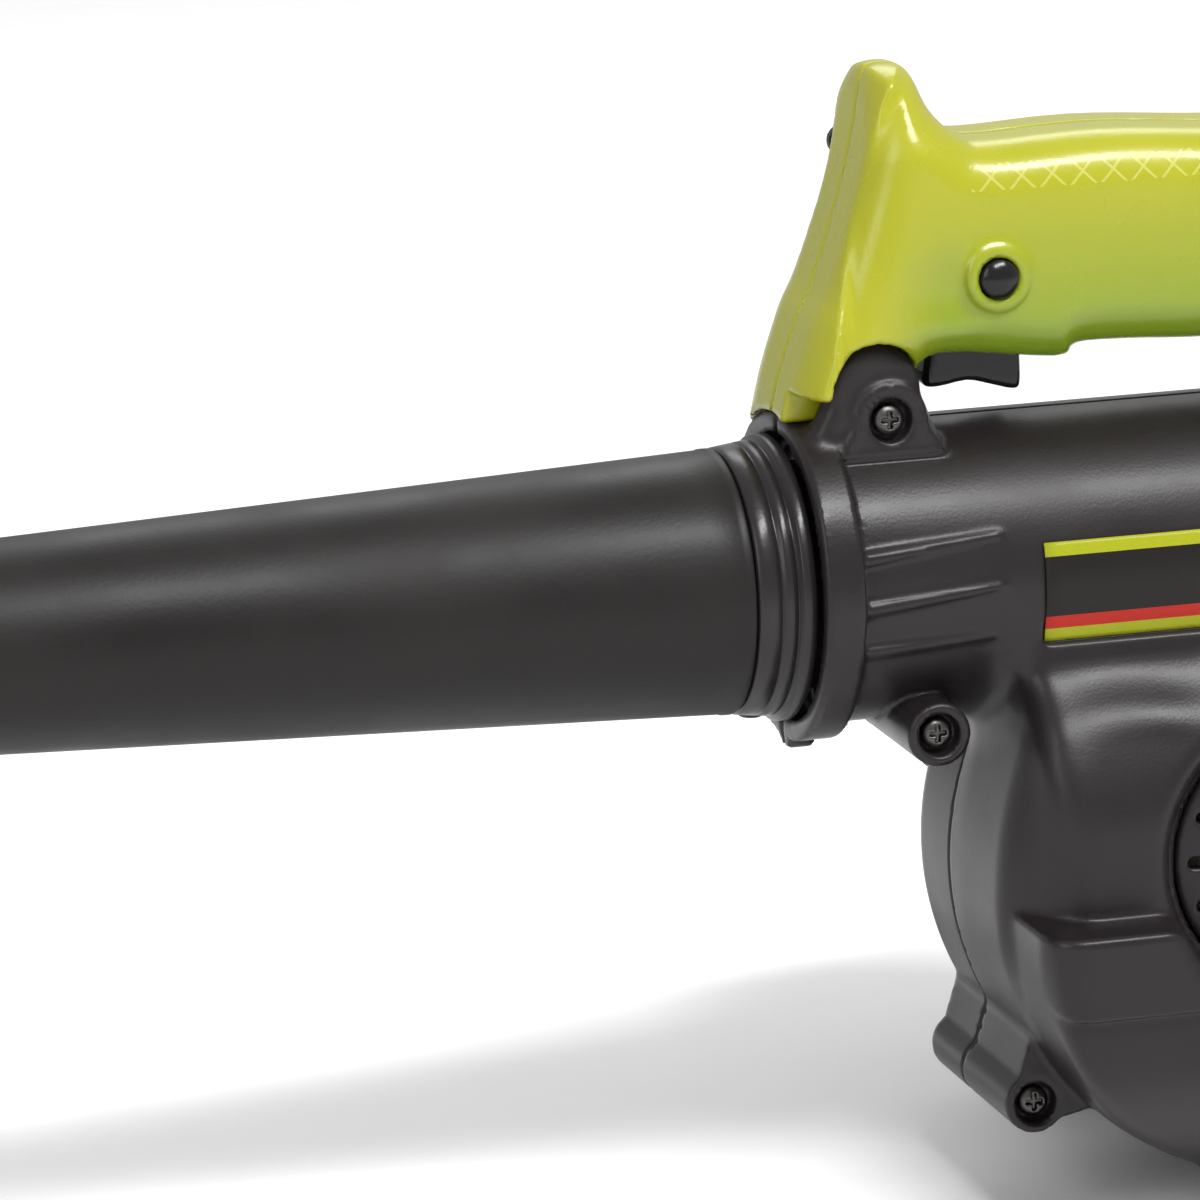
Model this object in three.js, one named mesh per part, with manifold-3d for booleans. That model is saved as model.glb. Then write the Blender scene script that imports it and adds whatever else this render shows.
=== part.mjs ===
// Electric leaf blower: a scroll-shaped fan casing in two halves, a loop handle in two halves,
// a universal motor on the far side, and a rubber nozzle on a bayonet collar.
// Millimetres, Z up. The nozzle points along -X and the casing seam is the plane Y = 0.
// Everything is placed from the fan axis, which lies along Y at the height FAN_HEIGHT.
import * as THREE from "three";
import { mergeVertices } from "three/addons/utils/BufferGeometryUtils.js";
import Module from "manifold-3d";

const wasm = await Module();
wasm.setup();

// ---------- Driving dimensions ----------

const FOOT_DROP = 5.255;        // from the scroll's underside to the floor
const WALL = 2.6;               // wall of the black casings
const GAP = 0.3;                // clearance between pieces that touch
const PAST = 5;                 // how far a cutting tool runs past what it cuts

const SCROLL_R = 60.6;          // scroll radius on the nozzle side
const SCROLL_GROWTH = 0.0905;   // growth of that radius for each degree
const TONGUE_DEG = 152;         // angle at which the scroll starts
const SCROLL_STEPS = 34;        // sides of the scroll
const DIP_DEG = 430;            // where the outline leaves the scroll and dips under the duct's flank
const DIP_DEPTH = 34;
const DIP_STEPS = 9;
const INTAKE_DEPTH = 37;        // seam to the intake side face
const INTAKE_ROUND = 8;         // rounding of that face's edge
const MOTOR_DEPTH = 24;         // seam to the motor side face
const MOTOR_ROUND = 6;

const DUCT_R = 29.5;            // outlet duct, outside
const DUCT_END = -88;           // where its plain part ends
const DUCT_TAIL = 5;            // where it starts to sink into the scroll
const RING_PROUD = 3;           // stiffening ring around the outlet, beyond the duct
const RING_STEP = 1.1;          // its bore inside the duct's outside
const RING_LENGTH = 7;

const TOWER_HALF = 53;          // raised column around the intake
const TOWER_DEPTH = 46.5;
const TOWER_ROUND = 5;
const BELT_HALF = 60;           // belt across the column
const BELT_DEPTH = 58.5;
const BELT_TOP = -7.5;
const BELT_FOOT = -24.3;
const DISH_R = 35;              // intake dish at the face of the belt
const DISH_RISE = 6;            // how far its mouth sits above the fan axis
const EYE_R = 27;               // bore of the intake eye
const GRILLE_PLACE = -38;       // outer face of the inlet grille
const GRILLE_THICK = 2.4;
const GRILLE_SLOT = 2.2;
const EYE_END = -13;            // where the eye's bell mouth ends, at the impeller

const FOOT_FRONT = -10;         // moulded foot under the scroll
const FOOT_REAR = 45;
const FOOT_HALF = 28;

const SLEEVE_ROOM = 4.5;        // between the duct's bore and the fixed outlet sleeve
const SLEEVE_WALL = 2;
const SLEEVE_TIP = -112;
const COLLAR_PROUD = 3.6;       // turning bayonet collar, beyond the sleeve
const COLLAR_FRONT = -106.8;
const COLLAR_REAR = -95.6;
const NECK_WALL = 1.2;          // collar neck inside the nozzle
const NECK_LENGTH = 20;
const NOZZLE_PROUD = 0.1;       // nozzle's wide end beyond the collar
const NOZZLE_TIP_R = 17.2;
const NOZZLE_LENGTH = 235;
const NOZZLE_WALL = 2.5;

const SCREW_HEAD_R = 3.1;
const SCREW_HEAD_H = 2.2;
const SCREW_SHANK_R = 1.75;
const RECESS_R = 4.3;           // counterbore over a screw head
const RECESS_DEPTH = 3.4;
const BOSS_R = 6.1;

const LUG_X = -76.5;            // saddle on the duct that holds the handle
const LUG_HALF = 17;
const LUG_R = 7.4;
const LUG_DROP = 7.1;           // from its screw down to its base, inside the duct's wall
const LUG_BASE_HALF = 11;
const HUMP_X = -79.3;           // hump behind the saddle's face, over the handle's foot
const HUMP_RISE = 8.6;          // its centre above the duct
const HUMP_R = 9.8;
const HUMP_DROP = 12.6;
const HUMP_BASE_HALF = 15;
const HUMP_FACE = 15.5;         // seam to its outer face
const HUMP_REAR = 8;            // seam to its inner face
const TONGUE_HALF = 4.7;        // handle tongues inside the saddle's slot

const GRIP_HALF = 18;           // half width of the handle
const SHIELD_HALF = 20.5;       // half width of its front face
const SHIELD_THICK = 9;
const HANDLE_WALL = 3;
const HANDLE_ROUND = 8;
const GRIP_UNDER = 13;          // underside of the grip above the duct's top
const HANDLE_REAR = 80;         // rear of the handle

const TRIGGER_FRONT = -66.4;
const TRIGGER_REAR = -46.5;
const TRIGGER_HALF = 6.5;
const TRIGGER_UNDER = 6.5;      // trigger and button heights are above the duct's top
const TRIGGER_TOP = 22;
const TRIGGER_TRAVEL = 5;
const BUTTON_X = -55;
const BUTTON_RISE = 29.9;
const BUTTON_R = 3.8;
const BUTTON_PROUD = 3;
const BUTTON_RING_R = 6.4;
const BUTTON_RING_PROUD = 1.2;
const SWITCH_ROOM = 9;          // from the pressed trigger to the switch
const SWITCH_HEIGHT = 14;
const TRIGGER_SPRING_R = 2.6;
const CAPACITOR_X = -13;
const CAPACITOR_LENGTH = 22;
const CAPACITOR_RISE = 27;
const CAPACITOR_HEIGHT = 14;
const GLAND_RISE = 23;          // cord gland at the rear of the grip
const GLAND_R = 6.6;
const GLAND_NECK_R = 5.2;
const GLAND_BORE = 3.6;
const GLAND_FLANGE = 2;
const GLAND_IN = 16;
const GLAND_OUT = 12;
const CLAMP_X = 48;
const CLAMP_HALF = 4;

const SHAFT_R = 4;
const IMPELLER_R = 52;
const IMPELLER_BLADES = 9;
const IMPELLER_ROOM = 3;        // space left around it
const IMPELLER_FACE = -10;      // intake edge of its blades
const IMPELLER_BACK = 12.5;     // rear of its back plate
const FRONT_BEARING = 14.6;     // near face of the 22 mm bearing
const FRONT_BEARING_R = 11;
const FRONT_BEARING_W = 7;
const REAR_BEARING = 90;
const REAR_BEARING_R = 9.5;
const REAR_BEARING_W = 6;
const MOTOR_R = 38;             // motor housing, outside
const MOTOR_TAPER = 2;          // how much smaller it is at its rear
const MOTOR_END = 92;
const CAP_LENGTH = 12;
const STATOR_R = 31;
const STATOR_START = 43;
const STATOR_LENGTH = 26;
const ARMATURE_R = 17.4;
const AIR_GAP = 0.8;
const COMMUTATOR_R = 10.5;
const COMMUTATOR_START = 77;
const COMMUTATOR_LENGTH = 10;
const BRUSH_SIZE = 6;
const FAN_R = 29;
const FAN_PLACE = 27;
const FAN_WIDTH = 7;
const MOTOR_FOOT_PLACE = 50;
const MOTOR_FOOT_WIDTH = 12;
const MOTOR_FOOT_HALF = 32;
const MOTOR_SCREW_OUT = 5.5;    // ear screws outside the motor housing
const MOTOR_SCREW_DEG = [35, 145, 215, 325];
const EAR_LENGTH = 6;
const EAR_R = 5;
const CAP_POST_R = 4.4;
const POLE_HALF = 14;
const YOKE = 5;
const COIL_THICK = 4;
const BRUSH_TUBE_R = 6.5;
const BRUSH_LENGTH = 9;
const HUB_R = 10;
const BLADE_THICK = 1.8;
const WASHER_R = 8;
const WASHER_THICK = 1.6;
const NUT_R = 7;
const NUT_HEIGHT = 6;
const WINDING_OVERHANG = 5;

const ROUND = 20;               // sides of a plain round piece
const SMALL_ROUND = 8;          // sides of a screw or a spring wire
const DUCT_ROUND = 28;          // sides of the duct, collar and nozzle

// ---------- Places worked out from them ----------

const rad = THREE.MathUtils.degToRad;
const scrollAt = (degrees) => SCROLL_R + SCROLL_GROWTH * (degrees - 180);
const FAN_HEIGHT = scrollAt(270) + FOOT_DROP;
const DUCT_Z = scrollAt(450) - DUCT_R;
const DUCT_TOP = DUCT_Z + DUCT_R;
const RING_R = DUCT_R + RING_PROUD;
const RING_LIP = DUCT_R - RING_STEP;
const SLEEVE_R = DUCT_R - WALL - SLEEVE_ROOM;
const SLEEVE_BORE = SLEEVE_R - SLEEVE_WALL;
const COLLAR_R = SLEEVE_R + COLLAR_PROUD;
const COLLAR_BORE = SLEEVE_R + GAP;
const NECK_R = COLLAR_BORE + NECK_WALL;
const NOZZLE_BASE_R = COLLAR_R + NOZZLE_PROUD;
const NOZZLE_BASE = COLLAR_FRONT - GAP;
const NOZZLE_TIP = NOZZLE_BASE - NOZZLE_LENGTH;
const LUG_Z = DUCT_TOP + 3.1;
const HUMP_Z = DUCT_TOP + HUMP_RISE;
const BOSS_OUT = 7.3;           // seam boss centre outside the scroll
const FRONT_BOSS = [DUCT_END + 16, DUCT_Z - DUCT_R + 2.3];
const GRIP_FLOOR = DUCT_TOP + GRIP_UNDER;
const TRIGGER_FLOOR = DUCT_TOP + TRIGGER_UNDER;
const TRIGGER_CEILING = DUCT_TOP + TRIGGER_TOP;
const BUTTON_Z = DUCT_TOP + BUTTON_RISE;
const GLAND_Z = DUCT_TOP + GLAND_RISE;
const FLOOR = -FAN_HEIGHT;

function onScroll(degrees, out) {
  const radius = scrollAt(degrees) + out;
  return [radius * Math.cos(rad(degrees)), radius * Math.sin(rad(degrees))];
}

// ---------- Shape helpers ----------

function solid(geometry) {
  const bare = geometry.index ? geometry.toNonIndexed() : geometry.clone();
  bare.deleteAttribute("normal");
  bare.deleteAttribute("uv");
  const welded = mergeVertices(bare, 1e-4);
  const index = welded.index.array;
  const faces = [];
  for (let i = 0; i < index.length; i += 3) {
    const [a, b, c] = [index[i], index[i + 1], index[i + 2]];
    if (a !== b && b !== c && c !== a) faces.push(a, b, c);
  }
  return new wasm.Manifold(new wasm.Mesh({
    numProp: 3,
    vertProperties: new Float32Array(welded.attributes.position.array),
    triVerts: new Uint32Array(faces),
  }));
}

function join(...bodies) {
  return bodies.flat().reduce((sum, body) => sum.add(body));
}

function cut(body, ...tools) {
  return tools.flat().reduce((rest, tool) => rest.subtract(tool), body);
}

function box(x0, x1, y0, y1, z0, z1) {
  const geometry = new THREE.BoxGeometry(x1 - x0, y1 - y0, z1 - z0);
  geometry.translate((x0 + x1) / 2, (y0 + y1) / 2, (z0 + z1) / 2);
  return solid(geometry);
}

// A rod from one point to another.
function rod(radius, from, to, sides = ROUND, endRadius = radius) {
  const start = new THREE.Vector3(...from);
  const line = new THREE.Vector3(...to).sub(start);
  const geometry = new THREE.CylinderGeometry(endRadius, radius, line.length(), sides);
  geometry.translate(0, line.length() / 2, 0);
  const turn = new THREE.Quaternion().setFromUnitVectors(new THREE.Vector3(0, 1, 0), line.normalize());
  geometry.applyQuaternion(turn);
  geometry.translate(...from);
  return solid(geometry);
}

const rodY = (radius, x, z, y0, y1, sides) => rod(radius, [x, y0, z], [x, y1, z], sides);
const rodX = (radius, y, z, x0, x1, sides) => rod(radius, [x0, y, z], [x1, y, z], sides);
const rodZ = (radius, x, y, z0, z1, sides) => rod(radius, [x, y, z0], [x, y, z1], sides);

function extrude(points, depth, round) {
  const shape = new THREE.Shape(points.map(([a, b]) => new THREE.Vector2(a, b)));
  const geometry = new THREE.ExtrudeGeometry(shape, {
    depth: depth - 2 * round,
    bevelEnabled: round > 0,
    bevelSize: round,
    bevelThickness: round,
    bevelOffset: -round,
    bevelSegments: 2,
  });
  geometry.translate(0, 0, round);
  return geometry;
}

// An outline in X and Z, extruded along Y.
function slabY(points, y0, y1, round = 0) {
  const geometry = extrude(points, y1 - y0, round);
  geometry.rotateX(Math.PI / 2);
  geometry.translate(0, y1, 0);
  return solid(geometry);
}

// An outline in Y and Z, extruded along X.
function slabX(points, x0, x1, round = 0) {
  const geometry = extrude(points, x1 - x0, round);
  const axes = [new THREE.Vector3(0, 1, 0), new THREE.Vector3(0, 0, 1), new THREE.Vector3(1, 0, 0)];
  geometry.applyMatrix4(new THREE.Matrix4().makeBasis(...axes));
  geometry.translate(x0, 0, 0);
  return solid(geometry);
}

function lathe(profile, sides) {
  const points = profile.map(([radius, along]) => new THREE.Vector2(radius, along));
  return new THREE.LatheGeometry(points, sides);
}

// A profile of [radius, y], turned about a line along Y.
function turnY(profile, x = 0, z = 0, sides = ROUND) {
  const geometry = lathe(profile, sides);
  geometry.translate(x, 0, z);
  return solid(geometry);
}

// A profile of [radius, x], turned about the duct's axis.
function turnX(profile, sides = DUCT_ROUND) {
  const geometry = lathe(profile, sides);
  geometry.rotateZ(-Math.PI / 2);
  geometry.translate(0, 0, DUCT_Z);
  return solid(geometry);
}

function tubeProfile(inner, outer, from, to) {
  return [[inner, from], [outer, from], [outer, to], [inner, to], [inner, from]];
}

// Moves each side of a closed outline inwards.
function inset(points, distance) {
  const turns = THREE.ShapeUtils.area(points.map(([x, y]) => new THREE.Vector2(x, y))) > 0 ? 1 : -1;
  return points.map((point, i) => {
    const before = points[(i + points.length - 1) % points.length];
    const after = points[(i + 1) % points.length];
    const a = new THREE.Vector2(point[0] - before[0], point[1] - before[1]).normalize();
    const b = new THREE.Vector2(after[0] - point[0], after[1] - point[1]).normalize();
    const normal = new THREE.Vector2(-(a.y + b.y), a.x + b.x).normalize();
    const mitre = distance * turns / Math.max(0.4, normal.dot(new THREE.Vector2(-a.y, a.x)));
    return [point[0] + normal.x * mitre, point[1] + normal.y * mitre];
  });
}

// A round end at (x, z) with a web that spreads towards the given direction.
function teardrop(x, z, radius, degrees, length, halfBase) {
  const along = [Math.cos(rad(degrees)), Math.sin(rad(degrees))];
  const across = [-along[1], along[0]];
  const place = (a, b) => [x + along[0] * a + across[0] * b, z + along[1] * a + across[1] * b];
  const points = [place(length, -halfBase), place(length, halfBase)];
  for (let turn = 90; turn <= 270; turn += 20) {
    points.push(place(radius * Math.cos(rad(turn)), radius * Math.sin(rad(turn))));
  }
  return points;
}

// ---------- Materials and the scene ----------

const LOOKS = {
  casing: { color: 0x2e2b2b, roughness: 0.45, metalness: 0 },
  lime: { color: 0xb4c22c, roughness: 0.35, metalness: 0 },
  rubber: { color: 0x201e1d, roughness: 0.7, metalness: 0 },
  gloss_black: { color: 0x141414, roughness: 0.25, metalness: 0 },
  label: { color: 0x15130f, roughness: 0.4, metalness: 0 },
  steel: { color: 0x8c8c8c, roughness: 0.35, metalness: 1 },
  dark_steel: { color: 0x3a3a3a, roughness: 0.5, metalness: 0.9 },
  copper: { color: 0xa8622c, roughness: 0.4, metalness: 0.9 },
  carbon: { color: 0x26262a, roughness: 0.8, metalness: 0 },
  nylon: { color: 0xd8d4c4, roughness: 0.6, metalness: 0 },
};

const group = new THREE.Group();
const machine = new THREE.Group();
machine.position.z = FAN_HEIGHT;
group.add(machine);

function piece(name, look, body) {
  const mesh = body.getMesh();
  const geometry = new THREE.BufferGeometry();
  geometry.setAttribute("position", new THREE.Float32BufferAttribute(mesh.vertProperties, 3));
  geometry.setIndex(Array.from(mesh.triVerts));
  geometry.computeVertexNormals();
  const node = new THREE.Mesh(geometry, new THREE.MeshStandardMaterial(LOOKS[look]));
  node.name = name;
  machine.add(node);
}

// ---------- Fan casing ----------

// The scroll's outline seen from the intake side; behind the duct's flank it dips back to the tongue.
function scrollOutline(shrink) {
  const points = [];
  for (let step = 0; step < SCROLL_STEPS; step += 1) {
    points.push(onScroll(THREE.MathUtils.lerp(TONGUE_DEG, DIP_DEG, step / SCROLL_STEPS), -shrink));
  }
  const tongueR = scrollAt(TONGUE_DEG);
  for (let step = 0; step < DIP_STEPS; step += 1) {
    const along = step / DIP_STEPS;
    const radius = THREE.MathUtils.lerp(scrollAt(DIP_DEG), tongueR, along) - shrink
      - DIP_DEPTH * Math.sin(Math.PI * along) ** 1.5;
    const angle = rad(THREE.MathUtils.lerp(DIP_DEG - 360, TONGUE_DEG, along));
    points.push([radius * Math.cos(angle), radius * Math.sin(angle)]);
  }
  return points;
}

function duct(radius, front) {
  const dome = [[radius, DUCT_TAIL]];
  for (let degrees = 20; degrees < 90; degrees += 20) {
    dome.push([radius * Math.cos(rad(degrees)), DUCT_TAIL + radius * Math.sin(rad(degrees))]);
  }
  return turnX([[0, front], [radius, front], ...dome, [0, DUCT_TAIL + radius]]);
}

// The raised column, the belt across it and the chin below, on the intake side.
function tower(shrink) {
  const root = shrink > 0 ? 0 : -10;
  const column = [
    [root, BELT_FOOT],
    [-TOWER_DEPTH + shrink, BELT_FOOT],
    [-TOWER_DEPTH + shrink, DUCT_Z - 38],
    [-27 + shrink, DUCT_Z - 13],
    [root, DUCT_Z - 13],
  ];
  const belt = [
    [root, BELT_TOP - shrink],
    [-BELT_DEPTH + shrink, BELT_TOP - shrink],
    [-BELT_DEPTH + shrink, BELT_FOOT],
    [-BELT_DEPTH + 3 + shrink, BELT_FOOT - 13],
    [-BELT_DEPTH + 11 + shrink, BELT_FOOT - 25],
    [-INTAKE_DEPTH + shrink, BELT_FOOT - 33],
    [root, BELT_FOOT - 33],
  ];
  const half = BELT_HALF - shrink;
  const beltBody = slabX(belt, -half, half, shrink ? 0 : TOWER_ROUND);
  const columnBody = slabX(column, -TOWER_HALF + shrink, TOWER_HALF - shrink, shrink ? 0 : TOWER_ROUND);
  const fence = slabY(scrollOutline(shrink + 1), -BELT_DEPTH - PAST, 0);
  return join(columnBody, beltBody.intersect(fence));
}

// The dish leans from its raised mouth down to the eye on the fan axis.
function leaningCone(mouthR, mouthY, rootR, rootY) {
  const geometry = lathe([[0, mouthY], [mouthR, mouthY], [rootR, rootY], [0, rootY]], DUCT_ROUND);
  const lean = DISH_RISE / (mouthY - rootY);
  geometry.applyMatrix4(new THREE.Matrix4().makeShear(0, 0, 0, lean, 0, 0));
  geometry.translate(0, 0, -lean * rootY);
  return solid(geometry);
}

const SEAM_SCREWS = [
  { name: "screw_saddle", at: [LUG_X, LUG_Z], near: -LUG_HALF, far: LUG_HALF },
  { name: "screw_front_boss", at: FRONT_BOSS, near: -30, far: 18 },
  { name: "screw_lower_boss", at: onScroll(222.7, BOSS_OUT), near: -28, far: 20, web: true },
  { name: "screw_rear_lower_boss", at: onScroll(325, BOSS_OUT), near: -28, far: 20, web: true },
  { name: "screw_rear_upper_boss", at: onScroll(368, BOSS_OUT), near: -28, far: 20, web: true },
];

function seamBoss({ at, near, far, web }) {
  const [x, z] = at;
  if (!web) return rodY(BOSS_R, x, z, near, far);
  const inward = THREE.MathUtils.radToDeg(Math.atan2(-z, -x));
  return slabY(teardrop(x, z, BOSS_R, inward, BOSS_OUT + WALL, BOSS_R + 5), near, far);
}

function screwBore({ at: [x, z], near, far }) {
  const bore = SCREW_SHANK_R + GAP;
  const recess = rodY(RECESS_R, x, z, near - PAST, near + RECESS_DEPTH);
  return join(recess, rodY(bore, x, z, near, far - 2, SMALL_ROUND));
}

function saddle(extra) {
  const outline = teardrop(LUG_X, LUG_Z, LUG_R + extra, -90, LUG_DROP, LUG_BASE_HALF + 2 * extra);
  return slabY(outline, -LUG_HALF - extra, LUG_HALF + extra);
}

// The left half's hump covers the near side of the handle's foot.
function humpOutline(extra) {
  return teardrop(HUMP_X, HUMP_Z, HUMP_R + extra, -90, HUMP_DROP, HUMP_BASE_HALF + 2 * extra);
}

const saddleSlot = box(LUG_X - LUG_R - 6, LUG_X + LUG_R - 2, -TONGUE_HALF - GAP, TONGUE_HALF + GAP,
  DUCT_Z + DUCT_R - 1, LUG_Z + LUG_R + PAST);

function outletRing() {
  const lip = turnX(tubeProfile(RING_LIP, RING_R, DUCT_END - RING_LENGTH, DUCT_END + 1));
  const tab = rodX(4, 0, DUCT_Z - RING_R + 2, DUCT_END - 5, DUCT_END - 1, SMALL_ROUND);
  return join(lip, cut(tab, duct(RING_LIP, DUCT_END - 20)));
}

// Three thin ribs along the duct's flank, one shorter than the next.
function ductRibs() {
  return [[64.5, -58], [54.8, -58], [45.8, -60]].map(([level, rear]) => {
    const angle = Math.asin((level + 1 - DUCT_Z) / DUCT_R);
    const y = -Math.cos(angle) * (DUCT_R + 0.2);
    const z = DUCT_Z + Math.sin(angle) * (DUCT_R + 0.2);
    return rod(0.9, [DUCT_END + 0.5, y, z - 1.2], [rear, y, z + 1.2], 6);
  });
}

function footBlock() {
  const outline = [
    [FOOT_FRONT, FLOOR],
    [FOOT_REAR, FLOOR],
    [FOOT_REAR - 3, -scrollAt(300) * 0.72],
    [FOOT_FRONT + 3, -scrollAt(270) + 4],
  ];
  return slabY(outline, -FOOT_HALF, FOOT_HALF);
}

const outside = join(outletRing(), saddle(0), footBlock(), SEAM_SCREWS.slice(1).map(seamBoss));
const innerScroll = join(
  slabY(scrollOutline(WALL), -INTAKE_DEPTH + WALL, MOTOR_DEPTH - WALL, 3),
  rodY(IMPELLER_R + IMPELLER_ROOM, 0, 0, IMPELLER_FACE - IMPELLER_ROOM, IMPELLER_BACK + 1.5, DUCT_ROUND),
  duct(DUCT_R - WALL, DUCT_END + 3 * WALL),
);
const sleeveSeat = turnX([
  [0, DUCT_END - PAST],
  [SLEEVE_R + GAP, DUCT_END - PAST],
  [SLEEVE_R + GAP, DUCT_END + WALL],
  [DUCT_R - WALL, DUCT_END + WALL],
  [DUCT_R - WALL, DUCT_END + 2 * WALL + 2 * GAP],
  [SLEEVE_R + GAP, DUCT_END + 2 * WALL + 2 * GAP],
  [SLEEVE_R + GAP, DUCT_END + 3 * WALL + PAST],
  [0, DUCT_END + 3 * WALL + PAST],
]);
const bores = [...SEAM_SCREWS.map(screwBore), saddleSlot, sleeveSeat];

function casingHalf(side) {
  const depth = side < 0 ? INTAKE_DEPTH : MOTOR_DEPTH;
  const round = side < 0 ? INTAKE_ROUND : MOTOR_ROUND;
  const reach = 100;
  const half = side < 0
    ? box(-200, 200, -reach, -GAP / 2, FLOOR, 200)
    : box(-200, 200, GAP / 2, reach, FLOOR, 200);
  const skin = join(slabY(scrollOutline(0), -depth, depth, round), duct(DUCT_R, DUCT_END));
  return { skin, half };
}

const left = casingHalf(-1);
const funnelWall = leaningCone(DISH_R + WALL, -BELT_DEPTH, EYE_R + WALL, GRILLE_PLACE);
const funnelHole = leaningCone(DISH_R, -BELT_DEPTH - 0.01, EYE_R + 1.5, GRILLE_PLACE);
const seatWall = rodY(EYE_R + WALL + 1.5, 0, 0, GRILLE_PLACE - 1, EYE_END - 8, DUCT_ROUND);
const bellMouth = rodY(EYE_R + WALL, 0, 0, EYE_END - 10, EYE_END, DUCT_ROUND);
const towerOut = tower(0);
const intake = join(funnelWall, seatWall, bellMouth).intersect(join(towerOut, left.skin));
const leftCavity = join(innerScroll, tower(WALL));
const hump = cut(slabY(humpOutline(0), -HUMP_FACE, -HUMP_REAR), duct(RING_LIP, DUCT_END - PAST * 4));
const leftWalls = join(cut(join(left.skin, towerOut, outside, hump), leftCavity), intake, ductRibs());
const eyeBore = rodY(EYE_R - 3, 0, 0, GRILLE_PLACE - PAST, EYE_END + PAST, DUCT_ROUND);
const grilleSeat = rodY(EYE_R + GAP, 0, 0, GRILLE_PLACE - PAST,
  GRILLE_PLACE + GRILLE_THICK + GAP, DUCT_ROUND);
// The two halves interlock at the middle of the foot.
const seamPad = box(FOOT_FRONT + 1, -FOOT_FRONT + 2, -2, 6, FLOOR, FLOOR + 4);
const seamSocket = box(FOOT_FRONT + 1 - GAP, -FOOT_FRONT + 2 + GAP, -3, 6 + GAP, FLOOR - 1, FLOOR + 4 + GAP);
piece("volute_shell_left", "casing",
  cut(leftWalls, funnelHole, grilleSeat, eyeBore, bores).intersect(left.half).add(seamPad));

const right = casingHalf(1);
const bearingHub = rodY(FRONT_BEARING_R + GAP + WALL, 0, 0, FRONT_BEARING - 0.6, MOTOR_DEPTH, ROUND);
const bearingSeat = rodY(FRONT_BEARING_R + GAP, 0, 0, 0, FRONT_BEARING + FRONT_BEARING_W + GAP, ROUND);
const shaftHole = rodY(SHAFT_R + 2.5, 0, 0, 0, MOTOR_DEPTH + PAST);
const motorScrewAt = (degrees) => [
  (MOTOR_R + MOTOR_SCREW_OUT) * Math.cos(rad(degrees)),
  (MOTOR_R + MOTOR_SCREW_OUT) * Math.sin(rad(degrees)),
];
const motorPillars = MOTOR_SCREW_DEG.map((degrees) => {
  const [x, z] = motorScrewAt(degrees);
  return rodY(SCREW_SHANK_R + GAP + WALL, x, z, MOTOR_DEPTH - 10, MOTOR_DEPTH, SMALL_ROUND);
});
const motorPilots = MOTOR_SCREW_DEG.map((degrees) => {
  const [x, z] = motorScrewAt(degrees);
  return rodY(SCREW_SHANK_R + GAP, x, z, MOTOR_DEPTH - 8, MOTOR_DEPTH + PAST, SMALL_ROUND);
});
const rightWalls = join(cut(join(right.skin, outside), innerScroll), bearingHub, motorPillars);
piece("volute_shell_right", "casing",
  cut(rightWalls, bearingSeat, shaftHole, bores, motorPilots, seamSocket).intersect(right.half));

// The grille sits in the eye's rebate, with two rings of slots around a closed hub.
function grille() {
  const back = GRILLE_PLACE + GRILLE_THICK;
  const slots = [];
  const rings = [[10, 16], [18.5, 24.5]];
  for (const [inner, outer] of rings) {
    const pitch = outer > 20 ? 22.5 : 30;
    for (let degrees = 0; degrees < 360; degrees += pitch) {
      const [c, s] = [Math.cos(rad(degrees)), Math.sin(rad(degrees))];
      const half = GRILLE_SLOT / 2;
      const corners = [[inner, -half], [outer, -half], [outer, half], [inner, half]];
      slots.push(slabY(corners.map(([a, b]) => [a * c - b * s, a * s + b * c]), GRILLE_PLACE - 1, back + 1));
    }
  }
  const dome = [
    [0, GRILLE_PLACE - 3],
    [8, GRILLE_PLACE - 2.4],
    [EYE_R, GRILLE_PLACE],
    [EYE_R, back],
    [0, back],
  ];
  return cut(turnY(dome, 0, 0, DUCT_ROUND), slots);
}
piece("inlet_grille", "casing", grille());

// The outlet sleeve is trapped by its flange between two webs inside the duct.
piece("outlet_sleeve", "casing", join(
  turnX(tubeProfile(SLEEVE_BORE, SLEEVE_R, SLEEVE_TIP, DUCT_END + 3 * WALL)),
  turnX(tubeProfile(SLEEVE_BORE, DUCT_R - WALL - GAP, DUCT_END + WALL + GAP, DUCT_END + 2 * WALL + GAP)),
));

// The label lies on the duct's flank.
function labelPlate() {
  const arc = (radius, from, to) => {
    const points = [];
    for (let step = 0; step <= 6; step += 1) {
      const angle = rad(from + (to - from) * step / 6);
      points.push([-radius * Math.cos(angle), DUCT_Z + radius * Math.sin(angle)]);
    }
    return points;
  };
  const outline = [...arc(DUCT_R + GAP, -21, 17), ...arc(DUCT_R + GAP + 0.5, 17, -21)];
  return slabX(outline, -50, -9);
}
piece("label_plate", "label", labelPlate());

// ---------- Screws ----------

// A pan-head screw from the middle of its head to its tip.
function screw(head, tip) {
  const start = new THREE.Vector3(...head);
  const direction = new THREE.Vector3(...tip).sub(start);
  const length = direction.length();
  const profile = [
    [0, 0],
    [SCREW_HEAD_R - 0.7, 0],
    [SCREW_HEAD_R, 0.9],
    [SCREW_HEAD_R, SCREW_HEAD_H],
    [SCREW_SHANK_R, SCREW_HEAD_H],
    [SCREW_SHANK_R, length - 1.5],
    [0, length],
  ];
  const geometry = lathe(profile, SMALL_ROUND);
  geometry.applyQuaternion(
    new THREE.Quaternion().setFromUnitVectors(new THREE.Vector3(0, 1, 0), direction.normalize()));
  geometry.translate(...head);
  return solid(geometry);
}

SEAM_SCREWS.forEach(({ name, at: [x, z], near, far }) => {
  const head = near + RECESS_DEPTH - SCREW_HEAD_H - GAP;
  piece(name, "steel", screw([x, head, z], [x, far - 2 - PAST, z]));
});

// ---------- Handle ----------

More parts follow.
